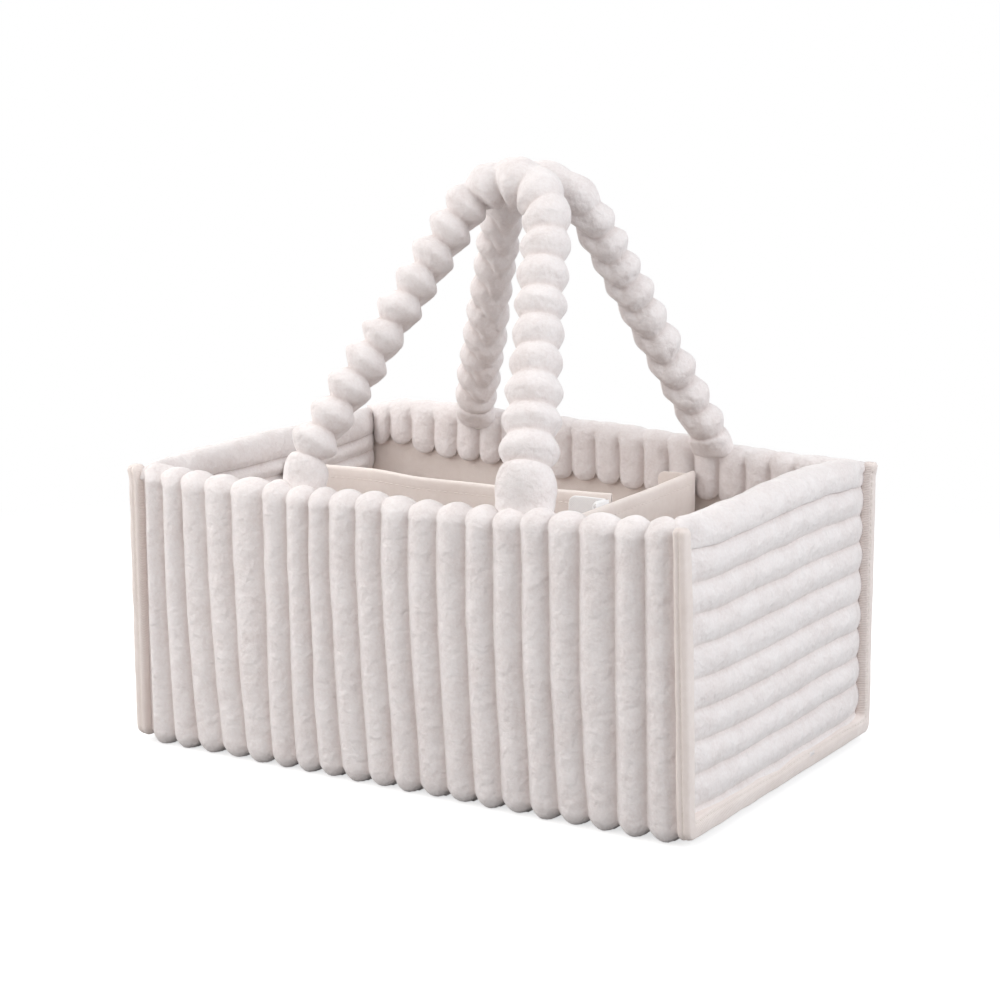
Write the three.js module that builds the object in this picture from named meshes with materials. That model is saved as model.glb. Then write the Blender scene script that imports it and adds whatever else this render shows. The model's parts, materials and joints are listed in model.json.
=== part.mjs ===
// Soft caddy: ribbed plush walls on foam boards, two beaded carry handles and two canvas dividers.
// Millimetres, +Z up. The origin is on the floor under the middle of the box, and the front faces -Y.
import * as THREE from 'three';

// Box, over the plush
const LENGTH = 380;
const DEPTH = 250;
const WALL_HEIGHT = 175;

// Layers of a wall, and the gap that pieces keep where they touch
const RIB_HEIGHT = 6;
const BACKING = 2;
const BOARD = 4;
const LINING = 1.2;
const FIT = 0.3;

// Plush ribs, upright on the long walls and level on the ends
const LONG_RIB_PITCH = 18.1;
const END_RIB_PITCH = 17.6;
const SOLE_CUT = 0.5; // how far the ribs under the base are flattened by standing

// Rim, where the plush rolls over the board and hangs down inside as a facing
const FACING_DEPTH = 35;
const FACING_TIP = 7; // length of the rounded end of each rib on a facing
const FACING_TIP_SHARE = 0.25; // share of a rib's height that is left at its tip
const ROLL_DROP = 5.5; // an end wall's first valley, below the centre of the roll
const MITRE_DRAW = 8; // how sharply the ribs crowd together at a mitred corner of the rim
const HEEL_RADIUS = 2; // inside turn of the long walls' plush under the base

// Tape bound round the two uprights and the bottom edge of each end
const BINDING_BAND = 12;
const BINDING_LIFT = 0.6;
const BINDING_CORNER = 6;

// Handles: stuffed tubes gathered into beads, sewn to the rim at both feet
const HANDLE_RISE = 182; // from the rim to the top of the handles
const FRONT_FEET = [-69, 80];
const BACK_FEET = [-88, 93];
const APEX_X = 14;
const ARCH_RADIUS = 32;
const FOOT_BEND = 12; // length in which a leg turns from square to the rim to its lean
const BEAD_DIAMETER = 28;
const NECK_DIAMETER = 22;
const FOOT_DIAMETER = 34;
const FOOT_BASE_DIAMETER = 29;
const BEAD_PITCH = 18.8;
const CORE_DIAMETER = 14;

// Dividers: a canvas sleeve folded over a stiff core, held by hook tabs at both ends
const DIVIDER_DROP = 15; // from the rim to the dividers' top edges
const DIVIDER_CORE = 2.4;
const SLEEVE = 0.8;
const RIGHT_COMPARTMENT = 88;
const TAB_THICKNESS = 1.5;
const TAB_HEIGHT = 32;
const TAB_LIP = 1; // how far a tab stands above its divider
const WALL_TAB_GRIP = 22;
const WALL_TAB_SEWN = 15;
const END_TAB_GRIP = 16;
const END_TAB_SEWN = 26;
const PATCH_THICKNESS = 1;

// Facets
const ROLL_STEPS = 6;
const HEEL_STEPS = 2;
const RING_SIDES = 8;
const RINGS_PER_BEAD = 3;
const CORNER_STEPS = 4;

// Sizes that follow from those above
const PLY = BACKING + RIB_HEIGHT;
const POCKET = BOARD + LINING + 3 * FIT; // between a wall's plush and its facing
const WALL = 2 * PLY + POCKET;
const ROLL_RADIUS = PLY + POCKET / 2;
const ROLL_HEIGHT = WALL_HEIGHT - ROLL_RADIUS;
const FACING_BOTTOM = WALL_HEIGHT - FACING_DEPTH;
const BOARD_INSET = PLY + FIT + BOARD; // from the outside to a board's inner face
const LINING_INSET = BOARD_INSET + FIT + LINING;
const LAYER_TOP = ROLL_HEIGHT - FIT;
const FLOOR = LINING_INSET; // the base has the same layers as a wall
const PIVOT_Y = DEPTH / 2 - ROLL_RADIUS;
const APEX_Y = (BEAD_DIAMETER + FIT) / 2;
const APEX_RISE = WALL_HEIGHT + HANDLE_RISE - BEAD_DIAMETER / 2 - ROLL_HEIGHT;
const LEAN = Math.atan2(PIVOT_Y - APEX_Y, APEX_RISE);
const HANDLE_REACH = Math.hypot(PIVOT_Y - APEX_Y, APEX_RISE);
const DIVIDER = DIVIDER_CORE + 2 * (FIT + SLEEVE);
const DIVIDER_TOP = WALL_HEIGHT - DIVIDER_DROP;
const DIVIDER_BOTTOM = FLOOR + FIT;
const CROSS_X = LENGTH / 2 - WALL - RIGHT_COMPARTMENT - DIVIDER / 2;
const SLEEVE_END_X = LENGTH / 2 - WALL - FIT; // where a divider's end meets an end wall's facing
const SLEEVE_END_Y = DEPTH / 2 - WALL - FIT;
const LONG_END_X = CROSS_X - DIVIDER / 2 - FIT;

function cloth(color, roughness) {
  return new THREE.MeshStandardMaterial({ color, roughness, metalness: 0 });
}

const plush = cloth(0xe8e1de, 0.95);
const canvas = cloth(0xd8c9be, 0.9);
const tape = cloth(0xd6c5b8, 0.85);
const foam = cloth(0xf1f0ee, 0.8);
const stuffing = cloth(0xf5f2ec, 1);
const hookTape = cloth(0xf7f6f6, 0.7);

const caddy = new THREE.Group();

function add(name, geometry, material, parent = caddy) {
  const mesh = new THREE.Mesh(geometry, material);
  mesh.name = name;
  parent.add(mesh);
}

function closedMesh(points, faces) {
  const geometry = new THREE.BufferGeometry();
  const numbers = points.flatMap((point) => point.toArray());
  geometry.setAttribute('position', new THREE.Float32BufferAttribute(numbers, 3));
  geometry.setIndex(faces.flat());
  geometry.computeVertexNormals();
  return geometry;
}

function quad(a, b, c, d) {
  return [[a, b, c], [a, c, d]];
}

// Upright slab between two corners.
function slab(low, high) {
  const size = high.map((value, axis) => value - low[axis]);
  const middle = high.map((value, axis) => (value + low[axis]) / 2);
  return new THREE.BoxGeometry(...size).translate(...middle);
}

// Crests and valleys along a row of round ribs, from -width / 2 to width / 2.
// A cut takes the top off each rib and leaves a flat.
function ribRow(width, nominalPitch, cut = 0) {
  const count = Math.max(1, Math.round(width / nominalPitch));
  const pitch = width / count;
  const height = RIB_HEIGHT + cut;
  const radius = (pitch * pitch / 4 + height * height) / (2 * height);
  const half = Math.asin(pitch / 2 / radius);
  const flat = Math.acos(1 - cut / radius);
  const crest = cut > 0 ? [-flat, flat] : [0];
  const angles = [-half, -(half + flat) / 2, ...crest, (half + flat) / 2];
  const row = [];
  for (let rib = 0; rib < count; rib += 1) {
    const centre = (rib + 0.5) * pitch - width / 2;
    for (const angle of angles) {
      const rise = height - radius * (1 - Math.cos(angle));
      row.push({ at: centre + radius * Math.sin(angle), rise: Math.max(0, rise) });
    }
  }
  row.push({ at: width / 2, rise: 0 });
  return row;
}

// Station of a sheet's backing: its place in the (outward, up) plane, the way its ribs face, in turns
// from outward to up, and a factor on their height.
function station(outward, up, facing, rise) {
  const normal = new THREE.Vector2(Math.cos(facing), Math.sin(facing));
  return { at: new THREE.Vector2(outward, up), normal, rise };
}

// Stations round an arc of the backing.
function turn(centreOut, centreUp, radius, from, to, steps, rise) {
  const stations = [];
  for (let step = 0; step <= steps; step += 1) {
    const facing = THREE.MathUtils.lerp(from, to, step / steps);
    const outward = centreOut + radius * Math.cos(facing);
    stations.push(station(outward, centreUp + radius * Math.sin(facing), facing, rise));
  }
  return stations;
}

// Place across a sheet of a column, given as a share of the half width. Where a mitre narrows the sheet,
// the outermost ribs take most of the loss.
function acrossSheet(share, half, narrowed) {
  const loss = (half - narrowed) * Math.abs(share) ** MITRE_DRAW;
  return share * half - Math.sign(share) * loss;
}

// Closed sheet of plush: a ribbed face over a plain backing. Columns lie across the sheet, as shares of
// its half width, and mitre gives the half width that is left at a place outward.
function plushSheet(stations, columns, half, mitre = () => half) {
  const points = [];
  const faces = [];
  const count = columns.length;
  const rises = stations.map((s) => columns.map((column) => BACKING + s.rise * column.rise));
  stations.forEach((s, row) => {
    columns.forEach((column, index) => {
      const place = s.normal.clone().multiplyScalar(rises[row][index]).add(s.at);
      const across = acrossSheet(column.at, half, mitre(place.x));
      points.push(new THREE.Vector3(across, place.x, place.y));
    });
  });
  const backing = points.length;
  for (const s of stations) {
    for (const side of [-1, 1]) {
      points.push(new THREE.Vector3(side * mitre(s.at.x), s.at.x, s.at.y));
    }
  }
  const left = (row) => backing + 2 * row;
  const right = (row) => backing + 2 * row + 1;
  for (let row = 0; row + 1 < stations.length; row += 1) {
    const here = row * count;
    const next = here + count;
    for (let index = 0; index + 1 < count; index += 1) {
      faces.push(...quad(here + index, next + index, next + index + 1, here + index + 1));
    }
    faces.push(...quad(left(row), right(row), right(row + 1), left(row + 1)));
    faces.push(...quad(here, left(row), left(row + 1), next));
    faces.push(...quad(right(row), next - 1, next + count - 1, right(row + 1)));
  }
  for (const row of [0, stations.length - 1]) {
    const rim = [left(row), right(row)];
    for (let index = count - 1; index >= 0; index -= 1) {
      rim.push(row * count + index);
    }
    const outline = rim.map((corner, order) => {
      const rise = order < 2 ? 0 : rises[row][count + 1 - order];
      return new THREE.Vector2(points[corner].x, rise);
    });
    for (const triangle of THREE.ShapeUtils.triangulateShape(outline, [])) {
      const corners = triangle.map((corner) => rim[corner]);
      faces.push(row === 0 ? corners.reverse() : corners);
    }
  }
  return closedMesh(points, faces);
}

function asShares(row, half) {
  return row.map((point) => ({ at: point.at / half, rise: point.rise }));
}

// Plush of a long wall: from under the base, up the outside, over the rim and down inside.
function longPanel(reach, half, mitre) {
  const heelOut = reach - PLY - HEEL_RADIUS;
  const rollOut = reach - ROLL_RADIUS;
  const facingOut = reach - WALL + PLY;
  const stations = [
    ...turn(heelOut, PLY + HEEL_RADIUS, HEEL_RADIUS, -Math.PI / 2, 0, HEEL_STEPS, 1),
    ...turn(rollOut, ROLL_HEIGHT, POCKET / 2, 0, Math.PI, ROLL_STEPS, 1),
    station(facingOut, FACING_BOTTOM + FACING_TIP, Math.PI, 1),
    station(facingOut, FACING_BOTTOM, Math.PI, FACING_TIP_SHARE),
  ];
  return plushSheet(stations, asShares(ribRow(2 * half, LONG_RIB_PITCH), half), half, mitre);
}

// Plush of an end wall: level ribs from the binding to the rim, the roll, and a facing inside.
function endPanel(reach, half, mitre) {
  const valley = ROLL_HEIGHT - ROLL_DROP;
  const bottom = BINDING_BAND + FIT;
  const outside = ribRow(valley, END_RIB_PITCH).map((rib) => ({ at: rib.at + valley / 2, rise: rib.rise }));
  const first = outside.findIndex((rib) => rib.at > bottom);
  const below = outside[first - 1];
  const above = outside[first];
  const share = (bottom - below.at) / (above.at - below.at);
  const cutRise = THREE.MathUtils.lerp(below.rise, above.rise, share);
  const inside = ribRow(valley - FACING_BOTTOM, END_RIB_PITCH);
  const facingMiddle = (valley + FACING_BOTTOM) / 2;
  const facingOut = reach - WALL + PLY;
  const stations = [
    station(reach - PLY, bottom, 0, cutRise),
    ...outside.slice(first).map((rib) => station(reach - PLY, rib.at, 0, rib.rise)),
    ...turn(reach - ROLL_RADIUS, ROLL_HEIGHT, POCKET / 2, 0, Math.PI, ROLL_STEPS, RIB_HEIGHT),
    ...inside.map((rib) => station(facingOut, facingMiddle - rib.at, Math.PI, rib.rise)),
  ];
  return plushSheet(stations, [{ at: -1, rise: 1 }, { at: 1, rise: 1 }], half, mitre);
}

// Tape round the two uprights and the bottom edge of an end wall, as one piece.
function bindingTape(reach, half) {
  const inner = half - PLY;
  const outline = new THREE.Shape();
  outline.moveTo(-half, WALL_HEIGHT);
  outline.lineTo(-half, BINDING_LIFT + BINDING_CORNER);
  outline.quadraticCurveTo(-half, BINDING_LIFT, BINDING_CORNER - half, BINDING_LIFT);
  outline.lineTo(half - BINDING_CORNER, BINDING_LIFT);
  outline.quadraticCurveTo(half, BINDING_LIFT, half, BINDING_LIFT + BINDING_CORNER);
  outline.lineTo(half, WALL_HEIGHT);
  outline.lineTo(inner, WALL_HEIGHT);
  outline.lineTo(inner, BINDING_BAND);
  outline.lineTo(-inner, BINDING_BAND);
  outline.lineTo(-inner, WALL_HEIGHT);
  outline.closePath();
  const options = { depth: PLY, bevelEnabled: false, curveSegments: CORNER_STEPS };
  return new THREE.ExtrudeGeometry(outline, options).rotateX(Math.PI / 2).translate(0, reach, 0);
}

// One wall, built facing +Y and turned to its side of the box.
function addWall(name, facing, isLong) {
  const reach = (isLong ? DEPTH : LENGTH) / 2;
  const across = (isLong ? LENGTH : DEPTH) / 2;
  const half = across - PLY - FIT;
  // Inside the backing the sheets are mitred at the corners of the rim.
  const mitre = (outward) => half - Math.max(0, reach - PLY - outward);
  const wall = new THREE.Group();
  wall.rotation.z = facing;
  caddy.add(wall);

  const panel = isLong ? longPanel : endPanel;
  add(`${name}_panel`, panel(reach, half, mitre), plush, wall);

  const boardHalf = isLong ? half : across - BOARD_INSET - FIT;
  const boardBottom = isLong ? PLY + HEEL_RADIUS : PLY + FIT;
  const boardLow = [-boardHalf, reach - BOARD_INSET, boardBottom];
  add(`${name}_board`, slab(boardLow, [boardHalf, reach - PLY - FIT, LAYER_TOP]), foam, wall);

  const liningHalf = across - FIT - (isLong ? BOARD_INSET : LINING_INSET);
  const liningLow = [-liningHalf, reach - LINING_INSET, BOARD_INSET + FIT];
  add(`${name}_lining`, slab(liningLow, [liningHalf, reach - BOARD_INSET - FIT, LAYER_TOP]), canvas, wall);

  if (!isLong) {
    const side = name.replace('_end', '');
    add(`${side}_binding`, bindingTape(reach, across), tape, wall);
  }
}

// Underside, stiffener and canvas floor.
function addBase() {
  const half = LENGTH / 2 - PLY - FIT;
  const edge = DEPTH / 2 - PLY - HEEL_RADIUS - FIT;
  const stations = [station(-edge, PLY, -Math.PI / 2, 1), station(edge, PLY, -Math.PI / 2, 1)];
  const columns = asShares(ribRow(2 * half, LONG_RIB_PITCH, SOLE_CUT), half);
  add('base_panel', plushSheet(stations, columns, half), plush);

  const boardX = LENGTH / 2 - BOARD_INSET - FIT;
  const boardY = DEPTH / 2 - BOARD_INSET - FIT;
  add('base_board', slab([-boardX, -boardY, PLY + FIT], [boardX, boardY, BOARD_INSET]), foam);

  const liningX = LENGTH / 2 - LINING_INSET - FIT;
  const liningY = DEPTH / 2 - LINING_INSET - FIT;
  add('base_lining', slab([-liningX, -liningY, BOARD_INSET + FIT], [liningX, liningY, FLOOR]), canvas);
}

// Point where a line from a leg meets the arch without a corner. Side is -1 for the left leg.
function archTangent(centre, from, side) {
  const away = from.clone().sub(centre);
  const angle = away.angle() + side * Math.acos(ARCH_RADIUS / away.length());
  return new THREE.Vector2(Math.cos(angle), Math.sin(angle)).multiplyScalar(ARCH_RADIUS).add(centre);
}

// Middle line of a handle in its own plane: along the rim, and up from the rim's centre. Each leg starts
// square to the rim, bends to its lean and runs straight to the arch.
function handleLine(feet) {
  const start = ROLL_RADIUS + FIT;
  const centre = new THREE.Vector2(APEX_X, HANDLE_REACH - ARCH_RADIUS);
  const knees = feet.map((foot) => new THREE.Vector2(foot, start + FOOT_BEND));
  const tangents = knees.map((knee, index) => archTangent(centre, knee, 2 * index - 1));
  const bends = knees.map((knee, index) => tangents[index].clone().sub(knee).setLength(FOOT_BEND).add(knee));
  const [fromAngle, toAngle] = tangents.map((tangent) => tangent.clone().sub(centre).angle());
  const line = new THREE.Path();
  line.moveTo(feet[0], start);
  line.quadraticCurveTo(knees[0].x, knees[0].y, bends[0].x, bends[0].y);
  line.lineTo(tangents[0].x, tangents[0].y);
  line.absarc(centre.x, centre.y, ARCH_RADIUS, fromAngle, toAngle, true);
  line.lineTo(bends[1].x, bends[1].y);
  line.quadraticCurveTo(knees[1].x, knees[1].y, feet[1], start);
  return line;
}

// Ring of points square to a handle's line, at a share of its length.
function ring(line, share, radius) {
  const centre = line.getPointAt(share);
  const along = line.getTangentAt(share);
  const points = [];
  for (let side = 0; side < RING_SIDES; side += 1) {
    const angle = (side + 0.5) * 2 * Math.PI / RING_SIDES;
    const across = radius * Math.cos(angle);
    const x = centre.x - across * along.y;
    const up = centre.y + across * along.x;
    points.push(new THREE.Vector3(x, -radius * Math.sin(angle), up));
  }
  return points;
}

// Faces between consecutive rings, numbered from a first point.
function ringFaces(first, count, outward) {
  const faces = [];
  for (let index = 0; index + 1 < count; index += 1) {
    for (let side = 0; side < RING_SIDES; side += 1) {
      const next = (side + 1) % RING_SIDES;
      const here = first + index * RING_SIDES;
      const ahead = here + RING_SIDES;
      const corners = [here + side, here + next, ahead + next, ahead + side];
      faces.push(...quad(...(outward ? corners : corners.reverse())));
    }
  }
  return faces;
}

// Plush tube gathered into beads, with the stuffing's bore through it.
function beadedCover(line, beads) {
  const rings = [];
  const steps = beads * RINGS_PER_BEAD;
  for (let step = 0; step <= steps; step += 1) {
    const isEnd = step === 0 || step === steps;
    const isFoot = step < RINGS_PER_BEAD || step > steps - RINGS_PER_BEAD;
    const neck = isEnd ? FOOT_BASE_DIAMETER : NECK_DIAMETER;
    const bead = isFoot ? FOOT_DIAMETER : BEAD_DIAMETER;
    const diameter = step % RINGS_PER_BEAD === 0 ? neck : bead;
    rings.push(ring(line, step / steps, diameter / 2));
  }
  const bore = rings.length * RING_SIDES;
  for (let step = 0; step <= beads; step += 1) {
    rings.push(ring(line, step / beads, CORE_DIAMETER / 2 + FIT));
  }
  const faces = [...ringFaces(0, steps + 1, true), ...ringFaces(bore, beads + 1, false)];
  const lastOuter = steps * RING_SIDES;
  const lastBore = bore + beads * RING_SIDES;
  for (let side = 0; side < RING_SIDES; side += 1) {
    const next = (side + 1) % RING_SIDES;
    faces.push(...quad(side, bore + side, bore + next, next));
    faces.push(...quad(lastOuter + next, lastBore + next, lastBore + side, lastOuter + side));
  }
  return closedMesh(rings.flat(), faces);
}

function stuffedCore(line, beads) {
  const rings = [];
  for (let step = 0; step <= beads; step += 1) {
    rings.push(ring(line, step / beads, CORE_DIAMETER / 2));
  }
  const faces = ringFaces(0, beads + 1, true);
  const last = beads * RING_SIDES;
  for (let side = 1; side + 1 < RING_SIDES; side += 1) {
    faces.push([0, side + 1, side], [last, last + side, last + side + 1]);
  }
  return closedMesh(rings.flat(), faces);
}

// Handle on the rim of the front (side -1) or back (side 1) wall, leaning in to meet the other.
function addHandle(name, feet, side) {
  const line = handleLine(feet);
  const beads = Math.round(line.getLength() / BEAD_PITCH);
  const handle = new THREE.Group();
  handle.position.set(0, side * PIVOT_Y, ROLL_HEIGHT);
  handle.rotation.x = side * LEAN;
  caddy.add(handle);
  add(`${name}_cover`, beadedCover(line, beads), plush, handle);
  add(`${name}_core`, stuffedCore(line, beads), stuffing, handle);
}

// Canvas sleeve and stiff core of a divider that runs along Y, centred on X = 0.
function addDivider(name, length, parent) {
  const half = DIVIDER / 2;
  const inside = DIVIDER_CORE / 2 + FIT;
  const outline = new THREE.Shape([
    new THREE.Vector2(-half, DIVIDER_BOTTOM),
    new THREE.Vector2(-inside, DIVIDER_BOTTOM),
    new THREE.Vector2(-inside, DIVIDER_TOP - SLEEVE),
    new THREE.Vector2(inside, DIVIDER_TOP - SLEEVE),
    new THREE.Vector2(inside, DIVIDER_BOTTOM),
    new THREE.Vector2(half, DIVIDER_BOTTOM),
    new THREE.Vector2(half, DIVIDER_TOP),
    new THREE.Vector2(-half, DIVIDER_TOP),
  ]);
  const sleeve = new THREE.ExtrudeGeometry(outline, { depth: length, bevelEnabled: false });
  add(`${name}_cover`, sleeve.rotateX(Math.PI / 2).translate(0, length / 2, 0), canvas, parent);
  const coreLow = [-DIVIDER_CORE / 2, -length / 2, DIVIDER_BOTTOM];
  const coreHigh = [DIVIDER_CORE / 2, length / 2, DIVIDER_TOP - SLEEVE - FIT];
  add(`${name}_core`, slab(coreLow, coreHigh), foam, parent);
}

// Folded hook tab with its bend at a corner: one leg along X and one along Y, each with its sign.
function foldedTab(corner, legX, legY) {
  const thickX = Math.sign(legX) * TAB_THICKNESS;
  const thickY = Math.sign(legY) * TAB_THICKNESS;
  const [x, y] = corner;
  const outline = new THREE.Shape([
    new THREE.Vector2(x, y),
    new THREE.Vector2(x + legX, y),
    new THREE.Vector2(x + legX, y + thickY),
    new THREE.Vector2(x + thickX, y + thickY),
    new THREE.Vector2(x + thickX, y + legY),
    new THREE.Vector2(x, y + legY),
  ]);
  const tab = new THREE.ExtrudeGeometry(outline, { depth: TAB_HEIGHT, bevelEnabled: false });
  return tab.translate(0, 0, DIVIDER_TOP + TAB_LIP - TAB_HEIGHT);
}

// Divider from front to back. Its tabs fold to the left on the facings of the long walls.
function addCrossDivider() {
  const divider = new THREE.Group();
  divider.position.x = CROSS_X;
  caddy.add(divider);
  addDivider('cross_divider', 2 * SLEEVE_END_Y, divider);
  const face = -DIVIDER / 2 - FIT;
  for (const [name, side] of [['front', -1], ['back', 1]]) {
    const tab = foldedTab([face, side * SLEEVE_END_Y], -WALL_TAB_GRIP, -side * WALL_TAB_SEWN);
    add(`cross_divider_${name}_tab`, tab, canvas, divider);
  }
  const patchTop = DIVIDER_TOP + TAB_LIP;
  const patchHigh = [face, -DIVIDER / 2 - FIT, patchTop - FIT];
  const patchLow = [face - PATCH_THICKNESS, -DIVIDER / 2 - FIT - END_TAB_GRIP, patchTop - TAB_HEIGHT];
  add('cross_divider_loop_patch', slab(patchLow, patchHigh), hookTape, divider);
}

// Divider along the left part of the box, from the left end to the cross divider.
function addLongDivider() {
  const length = LONG_END_X + SLEEVE_END_X;
  const divider = new THREE.Group();
  divider.position.x = (LONG_END_X - SLEEVE_END_X) / 2;
  divider.rotation.z = Math.PI / 2;
  caddy.add(divider);
  addDivider('long_divider', length, divider);
  const face = DIVIDER / 2 + FIT;
  const leftTab = foldedTab([-SLEEVE_END_X, face], WALL_TAB_SEWN, WALL_TAB_GRIP);
  add('long_divider_left_tab', leftTab, canvas);
  const gripX = LONG_END_X - PATCH_THICKNESS - FIT;
  add('long_divider_right_tab', foldedTab([gripX, -face], -END_TAB_SEWN, -END_TAB_GRIP), hookTape);
}

addWall('front', Math.PI, true);
addWall('back', 0, true);
addWall('left_end', Math.PI / 2, false);
addWall('right_end', -Math.PI / 2, false);
addBase();
addHandle('front_handle', FRONT_FEET, -1);
addHandle('back_handle', BACK_FEET, 1);
addCrossDivider();
addLongDivider();

export default caddy;
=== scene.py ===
"""Looks of a soft caddy: ribbed plush walls, bound corners, beaded handles and canvas dividers.

Sizes are in millimetres in the part's own frame: +X to the right end, +Y to the back, +Z up.
"""
import json
import math

import bmesh
import bpy
import numpy as np
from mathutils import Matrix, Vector


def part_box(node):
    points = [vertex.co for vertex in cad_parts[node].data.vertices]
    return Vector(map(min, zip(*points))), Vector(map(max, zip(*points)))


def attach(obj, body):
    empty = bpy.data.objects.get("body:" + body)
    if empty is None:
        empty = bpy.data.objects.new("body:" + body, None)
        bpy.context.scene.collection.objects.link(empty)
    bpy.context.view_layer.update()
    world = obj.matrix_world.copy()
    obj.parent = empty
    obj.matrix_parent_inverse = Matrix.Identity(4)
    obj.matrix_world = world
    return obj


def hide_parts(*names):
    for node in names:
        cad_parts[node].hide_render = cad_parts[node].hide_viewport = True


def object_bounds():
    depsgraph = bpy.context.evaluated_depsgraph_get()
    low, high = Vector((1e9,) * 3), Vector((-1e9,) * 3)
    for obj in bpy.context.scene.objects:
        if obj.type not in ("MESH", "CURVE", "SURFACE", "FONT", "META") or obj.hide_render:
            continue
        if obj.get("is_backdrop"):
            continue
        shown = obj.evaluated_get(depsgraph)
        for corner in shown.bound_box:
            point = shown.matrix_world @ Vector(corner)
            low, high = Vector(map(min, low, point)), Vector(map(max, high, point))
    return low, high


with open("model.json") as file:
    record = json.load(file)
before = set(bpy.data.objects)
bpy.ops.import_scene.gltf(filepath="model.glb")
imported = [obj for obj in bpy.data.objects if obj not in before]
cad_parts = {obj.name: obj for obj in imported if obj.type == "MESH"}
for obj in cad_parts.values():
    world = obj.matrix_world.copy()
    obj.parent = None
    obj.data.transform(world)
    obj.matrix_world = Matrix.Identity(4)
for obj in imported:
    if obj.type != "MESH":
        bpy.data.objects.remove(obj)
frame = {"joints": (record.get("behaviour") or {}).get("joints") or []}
CAD_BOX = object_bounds()
MM = 0.001


def corners(node):
    """Lowest and highest corner of a CAD node, in millimetres."""
    low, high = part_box(node)
    return np.array(low) / MM, np.array(high) / MM


# Box, from the frame
PANEL_LOW, PANEL_HIGH = corners("back_panel")
END_LOW, END_HIGH = corners("right_end_panel")
HALF_LENGTH = END_HIGH[0]
HALF_DEPTH = PANEL_HIGH[1]
RIM = PANEL_HIGH[2]
LONG_HALF = PANEL_HIGH[0]
END_HALF = END_HIGH[1]
BAND_TOP = END_LOW[2]
PLY = corners("base_panel")[1][2]
ROLL = (PANEL_HIGH[1] - PANEL_LOW[1]) / 2
ROLL_UP = RIM - ROLL

# Ribs: the heights of their valleys and crests, and a power that makes them slimmer as it grows
LONG_VALLEY = 3.3
LONG_CREST = PLY + 0.9
LONG_FULLNESS = 1.12
END_VALLEY = 4.8
END_CREST = PLY + 0.4
END_FULLNESS = 1.12
LONG_RIBS = 20
# Radius of the heel, where a long wall turns under the base
HEEL = 1.2
# Shares by which the ribs differ in width and in height
RIB_JITTER = 0.04
LONG_PLUMP = 0.07
END_PLUMP = 0.08
# Share of the end ribs' height that is lost at the bindings, and its reach
END_PINCH = 0.6
END_PINCH_REACH = 16
# Share of the end ribs' valleys that fills out at the bindings, and its reach
END_FILL = 0.65
END_FILL_REACH = 10
# Depth of the notches where the end ribs' valleys meet the bindings, and their reach
END_NOTCH = 1.6
END_NOTCH_REACH = 3
# Share of the height that is left at the ends of an end wall's roll, and its reach
ROLL_END = 0.2
ROLL_END_REACH = 9
# Reach of the groove between a long wall's last rib and the binding, and the share of the rib that it takes
END_GROOVE = 4
GROOVE_SHARE = 0.9
# Share of a long wall's valleys left on top of its roll, how they fade there, and where they begin inside
ROLL_VALLEYS = {"front": 0.6, "back": 0.1}
ROLL_FADE = 0.7
FACING_FROM = 0.68 * math.pi
# Heights of the end walls' valleys, from the binding to the rim and down inside
END_VALLEYS = [1, 18.5, 37, 54.5, 72, 89, 107, 124, 141, 158.5]
INSIDE_VALLEYS = [158.5, 147.5, 136.5]
# How far an end wall's plush reaches behind the band, and the height over which the band holds it level
BAND_OVERLAP = 1
BAND_HOLD = 10

# Unevenness of the plush: height and size of its lumps, from swells to tufts, and its share in valleys
NAP = [(0.45, 26), (0.28, 9), (0.16, 3.6)]
VALLEY_NAP = 0.3
SOLE_NAP = 0.8
# How far the ribs wander and over what length, and the power by which the bindings hold the long ones
LONG_WAVES = [(1.3, 45), (0.5, 14)]
END_WAVES = [(1.4, 60), (0.6, 20)]
EDGE_HOLD = 6

# Rim: the power that draws the plush in to its mitred corners, and its reach over the bindings there
MITRE_DRAW = 8
LONG_OVERHANG = 3.5
END_OVERHANG = 6.5
# Turns round the roll over which its top begins and ends
TOP_BEGINS = (0.25, 0.9)
TOP_ENDS = (2.4, 1.6)

# How far the ribs of a long wall lean along it, from the floor to their full lean, by place along the wall
LEAN = {
    "front": [(-182, 0), (-163, -5), (-135, -9.5), (-107, -8), (-88, -3.3), (-70, -4), (-35, -9), (20, -8.7),
              (75, -7.3), (112, -6.7), (130, -5.2), (150, -0.5), (182, 0)],
    "back": [(-182, 0), (-120, 5), (-40, 2), (60, 2), (100, 0.5), (182, 0)],
}
FULL_LEAN_UP = 140
LEAN_EASE = 1.9
# How far the rim stands above its even height, by place along each wall
RIM_RISE = {
    "front": [(-190, 0.2), (-150, -1.2), (-110, -2.2), (-90, -1.4), (-68, -3.2), (-50, -2.7), (-12, -1.2),
              (5, -3.2), (54, -2.7), (113, 0.1), (150, 1.5), (190, 3.8)],
    "back": [(-190, 8.5), (-150, 15.5), (-120, 15.5), (-60, 14), (0, 12), (20, 11), (40, 9.5), (60, 8.5),
             (102, 4.3), (150, 2), (190, 1.6)],
    "left": [(-125, 0.2), (-104, 2), (-71, 3.8), (0, 6), (125, 8.5)],
    "right": [(-125, 3.8), (-78, 2), (-53, 3), (0, 5.2), (40, 6.5), (85, 5.2), (125, 1.6)],
}
# Where along the box its ends' sway begins, and how far out each stands at its foot and rim, front and back
SWAY_FROM = 40
SWAY = {"left": ((4.2, 1.0), (4.6, 1.0)), "right": ((4.0, 3.4), (-2.4, 2.6))}

# Facing: the height of its lower edge inside each long wall, and the length and unevenness of its tongues
FACING_EDGE = {
    "front": [(-168, 143), (-60, 141), (40, 140), (168, 144)],
    "back": [(-168, 149), (-90, 143), (0, 141), (55, 140), (168, 142)],
}
TONGUE = 6.5
TONGUE_JITTER = 1.8
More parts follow.
